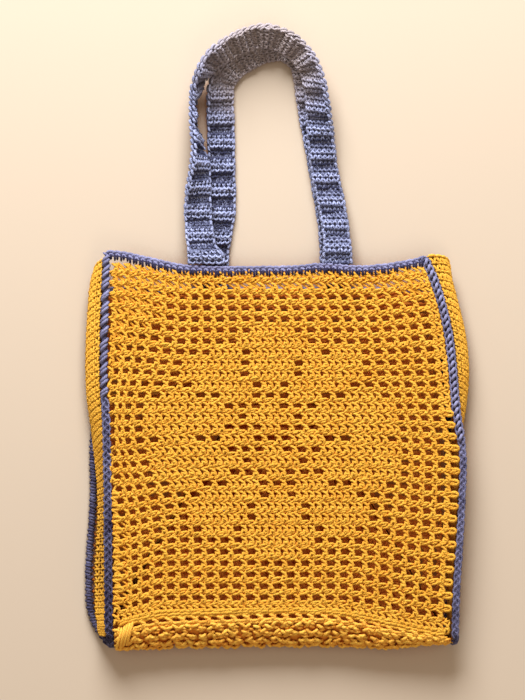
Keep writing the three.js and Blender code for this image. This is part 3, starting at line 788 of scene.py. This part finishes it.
def slackness(column, row):
    """How far a cell's hole is closed, most of all near the mouth and its left corner."""
    mouth = 1.75 - row
    foot = np.where((column == 0) & (row > 21), 0.4, 0)
    left = (7.3 - 0.85 * row - column) / 2.4
    right = (column - 22.2) / 1.5 - np.maximum(row - 2, 0) * 1.5
    return clipped(np.max([mouth, left, right, foot], axis=0))


def front_fill(yarn):
    """Rims beside the seams, the close last row, loose strands in the slack cells, and the ridge."""
    cloth = raised(front_net, -1)
    rim = np.repeat([-0.55, CELLS_ACROSS + 0.5], CELLS_DOWN)
    rows = np.tile(np.arange(CELLS_DOWN), 2)
    share = front_share(rim, rows + 0.5)
    use = (share > 0.0) & (share < 1.01) & ((rim < 0) | (rows < RIGHT_LOOPS[1]))
    posts(yarn, cloth, rim[use], rows[use], YARN_RADIUS, POST_SHAPES)
    last = np.arange(0.0, CELLS_ACROSS + 1, 0.5)
    posts(yarn, cloth, last, CELLS_DOWN, YARN_RADIUS, POST_SHAPES)
    for centre, first in (LEFT_LOOPS, RIGHT_LOOPS):
        posts(yarn, cloth, centre, np.arange(first, CELLS_DOWN), 1.7, (RIM_LOOP,), 0.8)
    row, column = every(CELLS_DOWN, CELLS_ACROSS)
    closed = slackness(column, row)
    for level, offset in SLACK_STRANDS:
        use = closed > level + rng.uniform(-0.1, 0.1, len(closed))
        posts(yarn, cloth, column[use] + 0.5 + offset, row[use], 1.35, (SLACK,), SLACK_TONE)
    ridge = np.arange(0.2, CELLS_ACROSS, 0.5)
    for drop in RIDGE_CHAINS:
        chains(yarn, cloth, ridge, CELLS_DOWN + drop, 0.9, COARSE_CHAIN, 0.5)


def row_of_chains(first, last):
    cells = np.concatenate([[-0.5], np.arange(CELLS_ACROSS), [CELLS_ACROSS - 0.3]])
    rows, starts = np.meshgrid(np.arange(first, last + 1.0), cells, indexing="ij")
    return starts.ravel(), rows.ravel()


def front_chains(yarn):
    starts, rows = row_of_chains(1, CELLS_DOWN)
    share = front_share(starts + 0.6, rows)
    use = (share > 0.008) & (share < 1.01)
    tone = SLACK_TONE * slackness(starts[use], rows[use] - 0.5)
    chains(yarn, raised(front_net, -1), starts[use], rows[use], 1.0, FULL_CHAIN, tone)


def thinned(shape, keep):
    return {name: values[list(keep)] for name, values in shape.items()}


def back_yarn(yarn):
    row, column = every(CELLS_DOWN, CELLS_ACROSS + 1)
    cloth = raised(back_net, -1)
    shapes = [thinned(POST_LEAD, (1, 3, 4, 6)), thinned(POST_LEG, (0, 2, 4, 6))]
    posts(yarn, cloth, column, row, 1.7, shapes, sides=4)
    starts, rows = row_of_chains(0, CELLS_DOWN)
    use = (starts >= 0) & (starts < CELLS_ACROSS - 0.5)
    upper, lower = thinned(CHAIN_UPPER, (0, 2, 3, 5)), thinned(CHAIN_LOWER, (0, 2, 4))
    shapes = ((upper, 1.9, 4), (lower, 1.7, 4), (CHAIN_CORE, 1.7, 4))
    chains(yarn, cloth, starts[use], rows[use], 1.0, shapes)


# Strands of a single crochet stitch: x in stitches from its middle, y in rows from its top
SOLID_LEFT = strand_of(
    (-0.42, 0.12, 0), (-0.34, 0.3, 1.2), (-0.18, 0.62, 1.5), (-0.05, 0.92, 1), (0.02, 1.08, 0),
)
SOLID_RIGHT = strand_of(
    (0.42, 0.12, 0), (0.32, 0.34, 1.1), (0.16, 0.64, 1.5), (0.06, 0.9, 1.1), (0, 1.08, 0),
)
SOLID_TOP = strand_of(
    (-0.62, 0.1, -0.2), (-0.3, -0.04, 1.5), (0.05, -0.08, 2.1), (0.4, 0, 1.6), (0.62, 0.12, 0),
)
SOLID_SHAPES = (SOLID_LEFT, SOLID_RIGHT, SOLID_TOP)
BACKING_THICKNESS = 1.2


def solid_stitches(yarn, cloth, columns, rows, radius, shapes, tone=0.0, sides=5):
    """Close single crochet: columns and rows are the places of the stitches' middles and tops."""
    posts(yarn, cloth, columns, rows, radius, shapes, tone, sides, SOLID_STRAYS)


def grid_of(columns, rows):
    """Middles and tops of a field of stitches."""
    t, s = np.meshgrid(np.arange(rows), np.arange(columns) + 0.5, indexing="ij")
    return s.ravel(), t.ravel()


def backing(yarn, cloth, columns, rows, height, first=0, tone=-0.5):
    """A thin closed layer below the stitches, so that no light leaks between them; its tone paints shade
    between the stitches.
    """
    s, t = np.meshgrid(np.linspace(0, columns, 12), np.linspace(first, rows, 60), indexing="ij")
    upper = cloth(s, t, np.full(s.shape, height))
    lower = cloth(s, t, np.full(s.shape, height - BACKING_THICKNESS))
    yarn.add_sheet(upper, tone)
    yarn.add_sheet(lower[::-1], tone)


# Strands of a handle's stitch: an arch over two legs
BUMP_ARCH = strand_of(
    (-0.46, 0.5, 0.2), (-0.3, 0.15, 1.7), (-0.02, -0.04, 2.3), (0.26, 0.12, 1.8), (0.42, 0.48, 0.2),
)
BUMP_LEFT = strand_of((-0.4, 0.5, 0.4), (-0.28, 0.75, 1.6), (-0.1, 1.05, 1.6), (0.02, 1.3, 0.2))
BUMP_RIGHT = strand_of((0.46, 0.45, 0.2), (0.36, 0.7, 1), (0.22, 0.9, 1.1), (0.1, 1.1, 0.2))
BUMP_SHAPES = (BUMP_ARCH, BUMP_LEFT, BUMP_RIGHT)

# Coarse strands of the bottom strip's rows, up and down in turn
ZIG = strand_of(
    (-0.26, 0.48, -0.8), (-0.2, 0.34, 1.5), (0, -0.05, 2.8), (0.2, -0.32, 1.7), (0.26, -0.4, -0.6),
)
ZAG = strand_of(
    (-0.27, -0.36, -0.6), (-0.2, -0.24, 1.6), (0, 0.04, 2.6), (0.18, 0.34, 1.4), (0.24, 0.48, -0.8),
)

# Loose strands that fold down over the bottom strip's left end
BUNDLE = strand_of(
    (0, 0.1, 1), (-0.1, 0.6, 3.2), (-0.3, 1.4, 4.2), (-0.5, 2.3, 4), (-0.62, 3.2, 2.6),
    (-0.66, 3.9, 0.6),
)
BOTTOM_CELLS = 26
BOTTOM_ROWS = 7

# The close rows: the first, their distance, how far each is shifted, and the share of knots
CLOSE_TOP, CLOSE_PITCH = 1.75, 1.15
CLOSE_SHIFTS = np.array([0.0, 0.37, 0.12, 0.6, 0.3])
KNOTTED = 0.55


def bottom_yarn(yarn):
    """Coarse rows: the first is open between its posts, the others are close."""
    even, share = evenly(bottom_surface)

    def surface(s, t):
        return bottom_surface(s / BOTTOM_CELLS, np.interp(t / BOTTOM_ROWS, even, share))

    cloth = raised(surface, -1)
    posts(yarn, cloth, np.arange(0.3, BOTTOM_CELLS), 0.35, 1.7, POST_SHAPES)
    chains(yarn, cloth, np.arange(0.1, BOTTOM_CELLS - 0.8, 0.5), 1.35, 0.9, COARSE_CHAIN)
    for shape, first in ((ZIG, 0.25), (ZAG, 0.75)):
        zigs, row = np.meshgrid(
            np.arange(first, BOTTOM_CELLS - 0.4), np.arange(len(CLOSE_SHIFTS)), indexing="ij"
        )
        zigs, row = zigs.ravel() + CLOSE_SHIFTS[row.ravel()] * 0.5, row.ravel()
        zigs = zigs + rng.normal(0, 0.12, len(zigs))
        rows = CLOSE_TOP + CLOSE_PITCH * row + rng.normal(0, 0.18, len(zigs))
        knotted = rng.uniform(0, 1, len(zigs)) < KNOTTED
        knots = (zigs[knotted] + 0.22, rows[knotted] - 0.5)
        posts(yarn, cloth, *knots, 1.6, (POST_WRAP,), 1.8)
        kind = rng.integers(0, 3, len(zigs))
        for bend in range(3):
            use = kind == bend
            bent = {**shape, "y": shape["y"] * (0.3 + 0.35 * bend), "h": shape["h"] * (1.3 - 0.2 * bend)}
            # The close rows' strands are lighter, and the strands under them are darker as painted shade
            # below them
            solid_stitches(yarn, cloth, zigs[use], rows[use], 1.8, (bent,), 1.6)
            under = {**bent, "y": 0.5 - 0.6 * bent["y"], "h": bent["h"] - 0.9}
            solid_stitches(yarn, cloth, zigs[use] + 0.15, rows[use], 1.6, (under,), -1.0)
    bundle = np.arange(5.0)
    posts(yarn, cloth, 1.5 - 0.22 * bundle, 0.1 * bundle, 1.6, (BUNDLE,), 1.0)
    # A dark backing: painted shade between the stitches
    backing(yarn, cloth, BOTTOM_CELLS, BOTTOM_ROWS, -0.9, 1.3, -4.0)


# A gusset's stitches and rows, and how flat and how deep they lie
GUSSET_STITCHES = 9
GUSSET_ROWS = 54
ROUND_FOOT_ROWS = 5
GUSSET_RELIEF, GUSSET_SINK = 0.65, 1.0


def gusset_yarn(yarn, front_line, fold_line, back_line, outward):
    shape = gusset_surface(front_line, fold_line, back_line, outward)

    def surface(s, t):
        return shape(s / GUSSET_STITCHES, t / GUSSET_ROWS)

    laid = raised(surface, -outward)

    def cloth(s, t, h):
        return laid(s, t, GUSSET_RELIEF * h - GUSSET_SINK)

    rows = GUSSET_ROWS + ROUND_FOOT_ROWS
    solid_stitches(yarn, cloth, *grid_of(GUSSET_STITCHES, rows), 1.4, SOLID_SHAPES, 1.0)
    backing(yarn, cloth, GUSSET_STITCHES, rows, -0.2)


# Strands round a rope: x in stitches, y in turns from its outer side, h in millimetres
CORD_ARM = strand_of(
    (-0.3, 0.42, 2.3), (-0.12, 0.27, 2.9), (0.15, 0.1, 3.1), (0.5, -0.05, 3.1), (0.85, -0.2, 3),
    (1.15, -0.42, 2.7),
)
PLAIT_RIGHT = strand_of(
    (-0.1, -0.02, 1.6), (0.15, 0.1, 2.9), (0.5, 0.2, 3.1), (0.9, 0.2, 3), (1.25, 0.1, 2.6),
    (1.45, 0, 1.6),
)
PLAIT_LEFT = strand_of(
    (-0.6, 0.02, 1.6), (-0.3, -0.1, 2.9), (0.05, -0.2, 3.1), (0.45, -0.2, 3), (0.75, -0.1, 2.6),
    (0.95, 0, 1.6),
)
CORD_UNDER = strand_of(
    (0.1, 0.3, 2.5), (0.2, 0.4, 2.7), (0.3, 0.5, 2.7), (0.4, 0.6, 2.7), (0.5, 0.7, 2.5),
)
PLAIT = ((PLAIT_RIGHT, 0.0), (PLAIT_LEFT, 0.0))
BEAD = strand_of(
    (-0.25, 0.1, 1.2), (-0.05, 0.06, 2.9), (0.25, 0, 3.5), (0.55, -0.05, 2.9), (0.75, -0.1, 1.2),
)

# How far the strands' tables reach from a rope's middle
ARM_REACH = 3.1
# Painted shade: the tone of a dark core inside each rope, seen between its stitches
CORE_PAINTED_SHADE = -4.0


def corded(yarn, at, places, pitches, arms, radius, tone=0.0, reach=4.5, slant=1.0, turn=0.0):
    """Stitches along the outer side of a rope that reaches so far from its middle, closed below."""
    n = len(places)
    for shape, offset in arms + ((CORD_UNDER, 0.0), (CORD_UNDER, 0.5)):
        x, y, h = strands(shape, n)
        place = places[:, None] + pitches[:, None] * (slant * x + offset + stray(0.04, n))
        angle = turn + y * stray(0.06, n, 1)
        height = h + reach - ARM_REACH - radius + stray(0.12, n)
        yarn.add(at(place, angle, height), radius, 6, tone=tone + rng.normal(0, 0.8, n))


def core(yarn, line, radius, first=0.5):
    """A dark round core inside a rope: painted shade between the stitches round it."""
    place = np.linspace(first, line["at"][-1] - 0.5, int(line["at"][-1] / 6))
    yarn.add(along(line, place)[None], radius, 8, tone=np.array([CORE_PAINTED_SHADE]))


def spaced(length, pitch_at):
    """Places of the stitches along a rope whose pitch changes on its way."""
    places = [0.0]
    while places[-1] < length - 2:
        places.append(places[-1] + float(pitch_at(places[-1])))
    places = np.array(places)
    return places[:-1], np.diff(places)


# Length of a seam's stitches by the distance from its upper end
LEFT_PITCHES = table("at pitch", (0, 11.3), (110, 11.3), (150, 7.6), (340, 6.8), (400, 5.8), (700, 5.8))
RIGHT_PITCHES = table("at pitch", (0, 6.2), (120, 6.4), (340, 6.8), (400, 5.8), (700, 5.8))
WIDE_STITCH = 9
BACK_START = 370

# Painted shade: a seam's front darkens on its way down, from where to where, and by how much
SEAM_PAINTED_SHADE_DOWN = ((150, 330), (0.6, 2.2))

# Each seam: where it starts, how far its beads go, how much painted shade darkens it on its way down, its
# plait's reach, and the beads' tone, a painted highlight
LEFT_SEAM = (LEFT_PITCHES, 4, 110, 2.5, 4.6, 0.0)
RIGHT_SEAM = (RIGHT_PITCHES, 9, 185, 1.2, 4.0, 2.0)


def seam_yarn(yarn, line, pitches, first, beads_to, darker, plait_reach, bead_painted_light):
    """Wide cords, beads or a plait down the front, whichever the stitches are, and cords up the back."""
    at = rope(line, (1, 0, 0))
    length = line["at"][-1] - first - 1
    places, steps = spaced(length, lambda place: smooth(pitches, "at", "pitch", place))
    places = places + first
    wide = steps > WIDE_STITCH
    plain = ~wide & (places < beads_to)
    front = ~wide & ~plain & (places < BACK_START)
    # Painted shade: the front's plait darkens on its way down
    depth = -darker * np.interp(places[front], *SEAM_PAINTED_SHADE_DOWN)
    for use, arms, *look in (
        (wide, ((CORD_ARM, 0.0), (CORD_ARM, 0.3)), 1.75, 0.0, 4.9, 0.6),
        # Painted highlight on the beads over a plait in painted shade
        (plain, PLAIT, 1.35, bead_painted_light - 2.5, 4.8),
        (plain, ((BEAD, 0.2),), 1.6, bead_painted_light, 5.3),
        (front, PLAIT, 1.15, depth, plait_reach),
        # The cords up the back, under the bag, are dark as painted shade
        (places >= BACK_START, ((CORD_ARM, 0.0),), 1.8, -4.5),
    ):
        corded(yarn, at, places[use], steps[use], arms, *look)
    core(yarn, line, 2.3, first)


# Leg of the edging's stitch over the mesh's top chain: y towards the panel, h above it
EDGING_LEG = strand_of(
    (0, -0.5, 2), (0.02, -2.5, 2.8), (0.03, -4.5, 2.6), (0.03, -6.4, 1.8), (0, -7.6, 0),
)
EDGING_STITCH = 6.1
# Painted shade: the legs' tone stands for the shadow under the edging
LEG_PAINTED_SHADE = -8.0


def edging_yarn(yarn, line, turn, has_legs):
    at = rope(line, (0, 1, 0))
    places, steps = spaced(line["at"][-1], lambda place: EDGING_STITCH)
    corded(yarn, at, places, steps, PLAIT, 1.3, 0.5, 3.4, turn=turn)
    core(yarn, line, 1.8)
    if has_legs:
        n = len(places)
        # The legs are dark with painted shade
        for offset in (0.22, 0.62):
            x, y, h = strands(EDGING_LEG, n)
            centre = along(line, places[:, None] + steps[:, None] * (x + offset))
            paths = centre + points(0 * y, y * stray(0.1, n, 0.86), h - 0.2)
            yarn.add(paths, 1.2, tone=rng.normal(LEG_PAINTED_SHADE, 0.7, n))


# A handle's stitches across, their length, and the rise of its ribs above and below
HANDLE_STITCHES = 5
HANDLE_ROW = 5.8
RIB_RELIEF = 4.4
UNDER_RELIEF = 1.0

# Share of the band's width that the stitches fill, and how much more on a rib
BAND_FILL, RIB_FILL = 0.8, 0.08
EDGE_STITCH, EDGE_HEIGHT = 6.2, 12

# Painted light and shade: tones from the valleys to the tops of the ribs, darkest in the valleys and
# lightest on the tops, and the painted shade of the sheets below the stitches
RIB_PAINTED_SHADING = ((0.4, 0.75, 1.0), (-6.5, -1.4, 2.0))
SHEET_PAINTED_SHADE = -3.5

# The first and last valley between ribs, from the handle's feet
FRONT_VALLEYS, BACK_VALLEYS = (19, 4), (12.6, 12.6)


def handle_yarn(yarn, band, first_valley, last_valley):
    """A ribbed band: both faces, its two edges, and a core between them."""
    rows = int(round(band.length / HANDLE_ROW))
    pitch = band.length / rows
    ribbed = band.length - first_valley - last_valley
    rib = ribbed / round(ribbed / RIB_PITCH)

    def bulge(place):
        return np.abs(np.sin(np.pi * (place - first_valley) / rib))

    def face(sign):
        relief = RIB_RELIEF if sign > 0 else UNDER_RELIEF

        def cloth(s, t, h):
            place = t * pitch
            across = (2 * s / HANDLE_STITCHES - 1) * (BAND_FILL + RIB_FILL * bulge(place))
            place = band.level_with(across, place)
            return band.at(across, place, sign * (relief * (bulge(place) - 0.5) + h))

        return cloth

    columns, tops = grid_of(HANDLE_STITCHES, rows)
    columns = columns + rng.normal(0, 0.08, len(columns))
    # Painted shade in the valleys between ribs and painted light on their tops
    tone = np.interp(bulge((tops + 0.5) * pitch), *RIB_PAINTED_SHADING)
    solid_stitches(yarn, face(1), columns, tops, 1.15, BUMP_SHAPES, tone)
    lighter = [thinned(shape, (0, 1, 3, 4)) for shape in (SOLID_LEFT, SOLID_RIGHT)]
    solid_stitches(yarn, face(-1), columns, tops, 1.4, lighter, sides=4)
    s, t = np.meshgrid(np.linspace(-0.84, 0.84, 6), np.linspace(0, band.length, 240), indexing="ij")
    lift = bulge(t) - 0.5
    # Dark sheets below the stitches, painted shade between them
    yarn.add_sheet(band.at(s, t, RIB_RELIEF * lift + 0.2), SHEET_PAINTED_SHADE)
    yarn.add_sheet(band.at(s, t, -UNDER_RELIEF * lift - 0.6)[::-1], SHEET_PAINTED_SHADE)
    starts = np.arange(0, band.length - 4, EDGE_STITCH)
    n = len(starts)
    for edge in (-1, 1):
        for shape in (CHAIN_UPPER, CHAIN_LOWER):
            x, y, h = strands(shape, n)
            place = np.clip(starts[:, None] + EDGE_STITCH * (x + stray(0.05, n)), 0, band.length)
            across = edge * (BAND_FILL + 0.05 * bulge(place) + 0.04 * h)
            yarn.add(band.at(across, place, y * EDGE_HEIGHT), YARN_RADIUS)


# Materials
PLIES, PLY_PITCH = 3, 2.6
FIBRE_SCALE, DYE_SCALE = 1400, 60

# Share of the lit colour, and how much plies (painted shade in their grooves and painted light on their
# crests), one step of tone and uneven dye change it
LIT_SHARE, PLY_PAINTED_SHADING, TONE_SHARE, DYE_SHARE = 0.62, 0.07, 0.1, 0.7

# Painted shade: surfaces within this reach in millimetres turn yarn or floor to its painted shade colour
YARN_SHADE, FLOOR_SHADE = 45, 60
# The most that the painted shade over the handles' crown covers the yarn's own colour
MOST_CROWN_SHADE = 0.85


def linear(red, green, blue):
    """A display colour of 0 to 255 as the shader's own colour."""
    shares = [value / 255 for value in (red, green, blue)]
    return tuple(s / 12.92 if s < 0.04045 else ((s + 0.055) / 1.055) ** 2.4 for s in shares) + (1.0,)


class Nodes:
    """The shader nodes of a new material."""

    def __init__(self, name, roughness):
        self.material = bpy.data.materials.new(name)
        self.material.use_nodes = True
        self.tree = self.material.node_tree
        self.shader = self.tree.nodes["Principled BSDF"]
        self.shader.inputs["Roughness"].default_value = roughness

    def new(self, kind):
        return self.tree.nodes.new(kind)

    def join(self, node, sockets):
        """Sets a node's inputs to values, or to what other nodes put out."""
        for name, value in sockets.items():
            if isinstance(value, bpy.types.NodeSocket):
                self.tree.links.new(value, node.inputs[name])
            else:
                node.inputs[name].default_value = value
        return node.outputs

    def attribute(self, name):
        node = self.new("ShaderNodeAttribute")
        node.attribute_name = name
        return node.outputs

    def maths(self, operation, *values):
        node = self.new("ShaderNodeMath")
        node.operation = operation
        return self.join(node, dict(enumerate(values)))[0]

    def noise(self, place, scale, detail):
        node = self.new("ShaderNodeTexNoise")
        return self.join(node, {"Vector": place, "Scale": scale, "Detail": detail})["Fac"]

    def blend(self, share, first, second):
        node = self.new("ShaderNodeMix")
        node.data_type = "RGBA"
        return self.join(node, {"Factor": share, "A": first, "B": second})["Result"]

    def openness(self, reach):
        node = self.new("ShaderNodeAmbientOcclusion")
        node.samples = 4
        return self.join(node, {"Distance": reach * MM})["AO"]

    def ramp(self, share, *stops):
        """Colours by a share: each stop is a place and its colour."""
        node = self.new("ShaderNodeValToRGB")
        for element, (place, colour) in zip(node.color_ramp.elements, stops):
            element.position = place
            element.color = colour
        return self.join(node, {"Fac": share})["Color"]


def yarn_material(name, lit, deep, painted_recess_shade, painted_crown_shade=None):
    """Cotton yarn: plies twisted round each strand, loose fibres, uneven dye, painted shade where other
    surfaces are near, and a place of painted shade and haze.
    """
    lit, deep, painted_recess_shade = (linear(*colour) for colour in (lit, deep, painted_recess_shade))
    nodes = Nodes(name, 0.85)
    shader, maths = nodes.shader, nodes.maths
    shader.inputs["Specular IOR Level"].default_value = 0.25
    shader.inputs["Sheen Weight"].default_value = 0.25
    shader.inputs["Sheen Roughness"].default_value = 0.5
    shader.inputs["Sheen Tint"].default_value = lit
    parts = nodes.join(nodes.new("ShaderNodeSeparateXYZ"), {0: nodes.attribute("strand")["Vector"]})
    angle = maths("ARCTAN2", parts["Y"], parts["X"])
    twist = maths("MULTIPLY", parts["Z"], 2 * math.pi / PLY_PITCH)
    ply = maths("SINE", maths("ADD", maths("MULTIPLY", angle, PLIES), twist))
    place = nodes.new("ShaderNodeTexCoord").outputs["Object"]
    fibre = nodes.noise(place, FIBRE_SCALE, 2)
    dye = nodes.noise(place, DYE_SCALE, 3)
    # Painted shade in the plies' grooves and painted light on their crests
    share = maths("MULTIPLY_ADD", ply, PLY_PAINTED_SHADING, LIT_SHARE)
    share = maths("ADD", share, maths("MULTIPLY", nodes.attribute("tone")["Fac"], TONE_SHARE))
    share = maths("ADD", share, maths("MULTIPLY", maths("SUBTRACT", dye, 0.5), DYE_SHARE))
    share.node.use_clamp = True
    # Painted shade: yarn close to other surfaces turns to the painted shade colour
    free = maths("MULTIPLY_ADD", nodes.openness(YARN_SHADE), 2.2, -0.2)
    free.node.use_clamp = True
    base = nodes.blend(free, painted_recess_shade, nodes.blend(share, deep, lit))
    # Painted shade and haze over a place, strongest at its middle
    if painted_crown_shade:
        middle, reach, crown_shade_colour = painted_crown_shade
        away = nodes.new("ShaderNodeVectorMath")
        away.operation = "DISTANCE"
        away = nodes.join(away, {0: place, 1: middle})["Value"]
        near = nodes.new("ShaderNodeMapRange")
        near.interpolation_type = "SMOOTHSTEP"
        limits = {"Value": away, "From Min": reach, "From Max": 0.3 * reach, "To Max": MOST_CROWN_SHADE}
        base = nodes.blend(nodes.join(near, limits)["Result"], base, crown_shade_colour)
    height = maths("ADD", maths("MULTIPLY", ply, 0.5), maths("MULTIPLY", fibre, 0.8))
    relief = {"Strength": 0.5, "Distance": 0.35 * MM, "Height": height}
    normal = nodes.join(nodes.new("ShaderNodeBump"), relief)["Normal"]
    nodes.join(shader, {"Base Color": base, "Normal": normal})
    return nodes.material


MUSTARD = yarn_material("mustard_cotton", (236, 186, 70), (212, 146, 34), (208, 108, 36))
# A copy for the gussets with a deeper painted shade in their recesses
SHADED_MUSTARD = yarn_material("inner_cotton", (236, 186, 70), (212, 146, 34), (100, 38, 24))
# The back mesh's yarn: a darker, redder copy as painted shade inside the bag, with a faint glow that
# paints light there
BACK_PAINTED_SHADE_AND_GLOW = yarn_material("back_cotton", (232, 176, 66), (208, 138, 34), (204, 98, 34))
back_glow_shader = BACK_PAINTED_SHADE_AND_GLOW.node_tree.nodes["Principled BSDF"]
back_glow_shader.inputs["Emission Color"].default_value = linear(148, 82, 30)
back_glow_shader.inputs["Emission Strength"].default_value = 0.2
SEAM_BLUE = yarn_material("seam_cotton", (148, 152, 196), (42, 38, 70), (42, 38, 56))

# The handles' crown, where the band leans away from the light: painted shade and haze, its middle and
# reach in metres, and its colour
CROWN_PAINTED_SHADE = ((-0.014, 0.268, 0.02), 0.085, linear(172, 160, 157))
HANDLE_BLUE = yarn_material("handle_cotton", (174, 186, 230), (52, 56, 88), (64, 60, 78), CROWN_PAINTED_SHADE)
# The bottom strip's yarn: a lighter copy, painted light where the strip leans away from the lamp
BOTTOM_MUSTARD_PAINTED_LIGHT = yarn_material("bottom_cotton", (255, 206, 88), (238, 150, 44), (200, 98, 34))


# Pieces
def make_pieces():
    """Makes every piece. The random draws depend on their order."""
    left_gusset = (LEFT_FRONT, LEFT_FOLD, LEFT_BACK, -1)
    right_gusset = (RIGHT_FRONT, RIGHT_FOLD, RIGHT_BACK, 1)
    left_seam = (seam_line(LEFT_FRONT, LEFT_TURN, LEFT_BACK), *LEFT_SEAM)
    right_seam = (seam_line(RIGHT_FRONT, RIGHT_TURN, RIGHT_BACK), *RIGHT_SEAM)
    front_handle = (Band(FRONT_LOOP, FRONT_FOOT_LEVEL), *FRONT_VALLEYS)
    back_handle = (Band(BACK_LOOP, BACK_FOOT_LEVEL), *BACK_VALLEYS)
    mesh, solid, seam, handle = "mustard_mesh", "mustard_solid", "blue_seam", "blue_handle"
    pieces = (
        ("front_posts", "front_panel", MUSTARD, mesh, front_posts),
        ("front_chains", "front_panel", MUSTARD, mesh, front_chains),
        ("front_fill", "front_panel", MUSTARD, mesh, front_fill),
        ("back_net", "back_panel", BACK_PAINTED_SHADE_AND_GLOW, mesh, back_yarn),
        ("bottom_strip", "bottom_panel", BOTTOM_MUSTARD_PAINTED_LIGHT, solid, bottom_yarn),
        ("left_side", "left_gusset", SHADED_MUSTARD, solid, gusset_yarn, *left_gusset),
        ("right_side", "right_gusset", SHADED_MUSTARD, solid, gusset_yarn, *right_gusset),
        ("left_cord", "left_seam", SEAM_BLUE, seam, seam_yarn, *left_seam),
        ("right_cord", "right_seam", SEAM_BLUE, seam, seam_yarn, *right_seam),
        ("front_edge", "front_top_edging", SEAM_BLUE, seam, edging_yarn, front_edging_line(), 0.04, True),
        ("back_edge", "back_top_edging", SEAM_BLUE, seam, edging_yarn, back_edging_line(), 0.05, False),
        ("front_strap", "front_handle", HANDLE_BLUE, handle, handle_yarn, *front_handle),
        ("back_strap", "back_handle", HANDLE_BLUE, handle, handle_yarn, *back_handle),
    )
    total = 0
    for name, node, material, slot, build, *measures in pieces:
        yarn = Yarn()
        build(yarn, *measures)
        total += yarn.make(name, material, slot, node)
    print(f"all pieces: {total} triangles")


# Floor, light and camera
FLOOR_REACH = 3.0


def make_floor():
    mesh = bpy.data.meshes.new("floor")
    corners = [(x * FLOOR_REACH, y * FLOOR_REACH, 0) for x, y in ((-1, -1), (1, -1), (1, 1), (-1, 1))]
    mesh.from_pydata(corners, [], [(0, 1, 2, 3)])
    nodes = Nodes("pale_floor", 0.9)
    # Painted shadow: the floor darkens round and under the bag by how closed in it is, and glows faintly
    # as painted light where it is most closed in
    free = nodes.openness(FLOOR_SHADE)
    colour = nodes.ramp(free, (0.15, linear(120, 66, 30)), (0.5, linear(206, 193, 176)))
    painted_floor_glow = nodes.ramp(free, (0.0, linear(80, 45, 16)), (0.15, (0, 0, 0, 1)))
    nodes.join(nodes.shader, {"Base Color": colour, "Emission Color": painted_floor_glow, "Emission Strength": 1.0})
    mesh.materials.append(nodes.material)
    floor = placed("floor", mesh)
    floor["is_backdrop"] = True


def area_light(name, place, width, power, colour):
    """A round light that shines at the bag's middle."""
    light = bpy.data.lights.new(name, "AREA")
    light.shape = "DISK"
    light.size = width
    light.energy = power
    light.color = colour
    lamp = placed(name, light)
    lamp.location = place
    x, y, z = place
    lamp.rotation_euler = (-math.atan2(math.hypot(x, y), z), 0, math.atan2(-x, y))


def make_light():
    area_light("window", (-0.2, 1.75, 1.05), 1.3, 88, (1.0, 0.97, 0.95))
    area_light("wall", (0.35, -1.0, 1.9), 1.2, 6, (1.0, 0.82, 0.66))
    world = bpy.data.worlds.new("soft_room")
    world.use_nodes = True
    background = world.node_tree.nodes["Background"]
    background.inputs["Color"].default_value = (1.0, 0.78, 0.58, 1)
    background.inputs["Strength"].default_value = 0.34
    bpy.context.scene.world = world
    bpy.context.scene.view_settings.view_transform = "Standard"


FRAME_HEIGHT = 0.667
FRAME_CENTRE = (-0.0133, -0.011)
CAMERA_DISTANCE = 4.5


def make_camera():
    data = bpy.data.cameras.new("camera")
    data.sensor_width = 36
    data.lens = data.sensor_width * CAMERA_DISTANCE / FRAME_HEIGHT
    data.clip_end = 20
    camera = placed("camera", data)
    camera.location = (*FRAME_CENTRE, CAMERA_DISTANCE + FRONT_HEIGHT * MM)
    bpy.context.scene.camera = camera


make_camera()
make_light()
make_floor()
make_pieces()

visual_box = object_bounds()
boxes = {"cad": cad_box, "visual": visual_box}
{name: [list(corner) for corner in box] for name, box in boxes.items()}
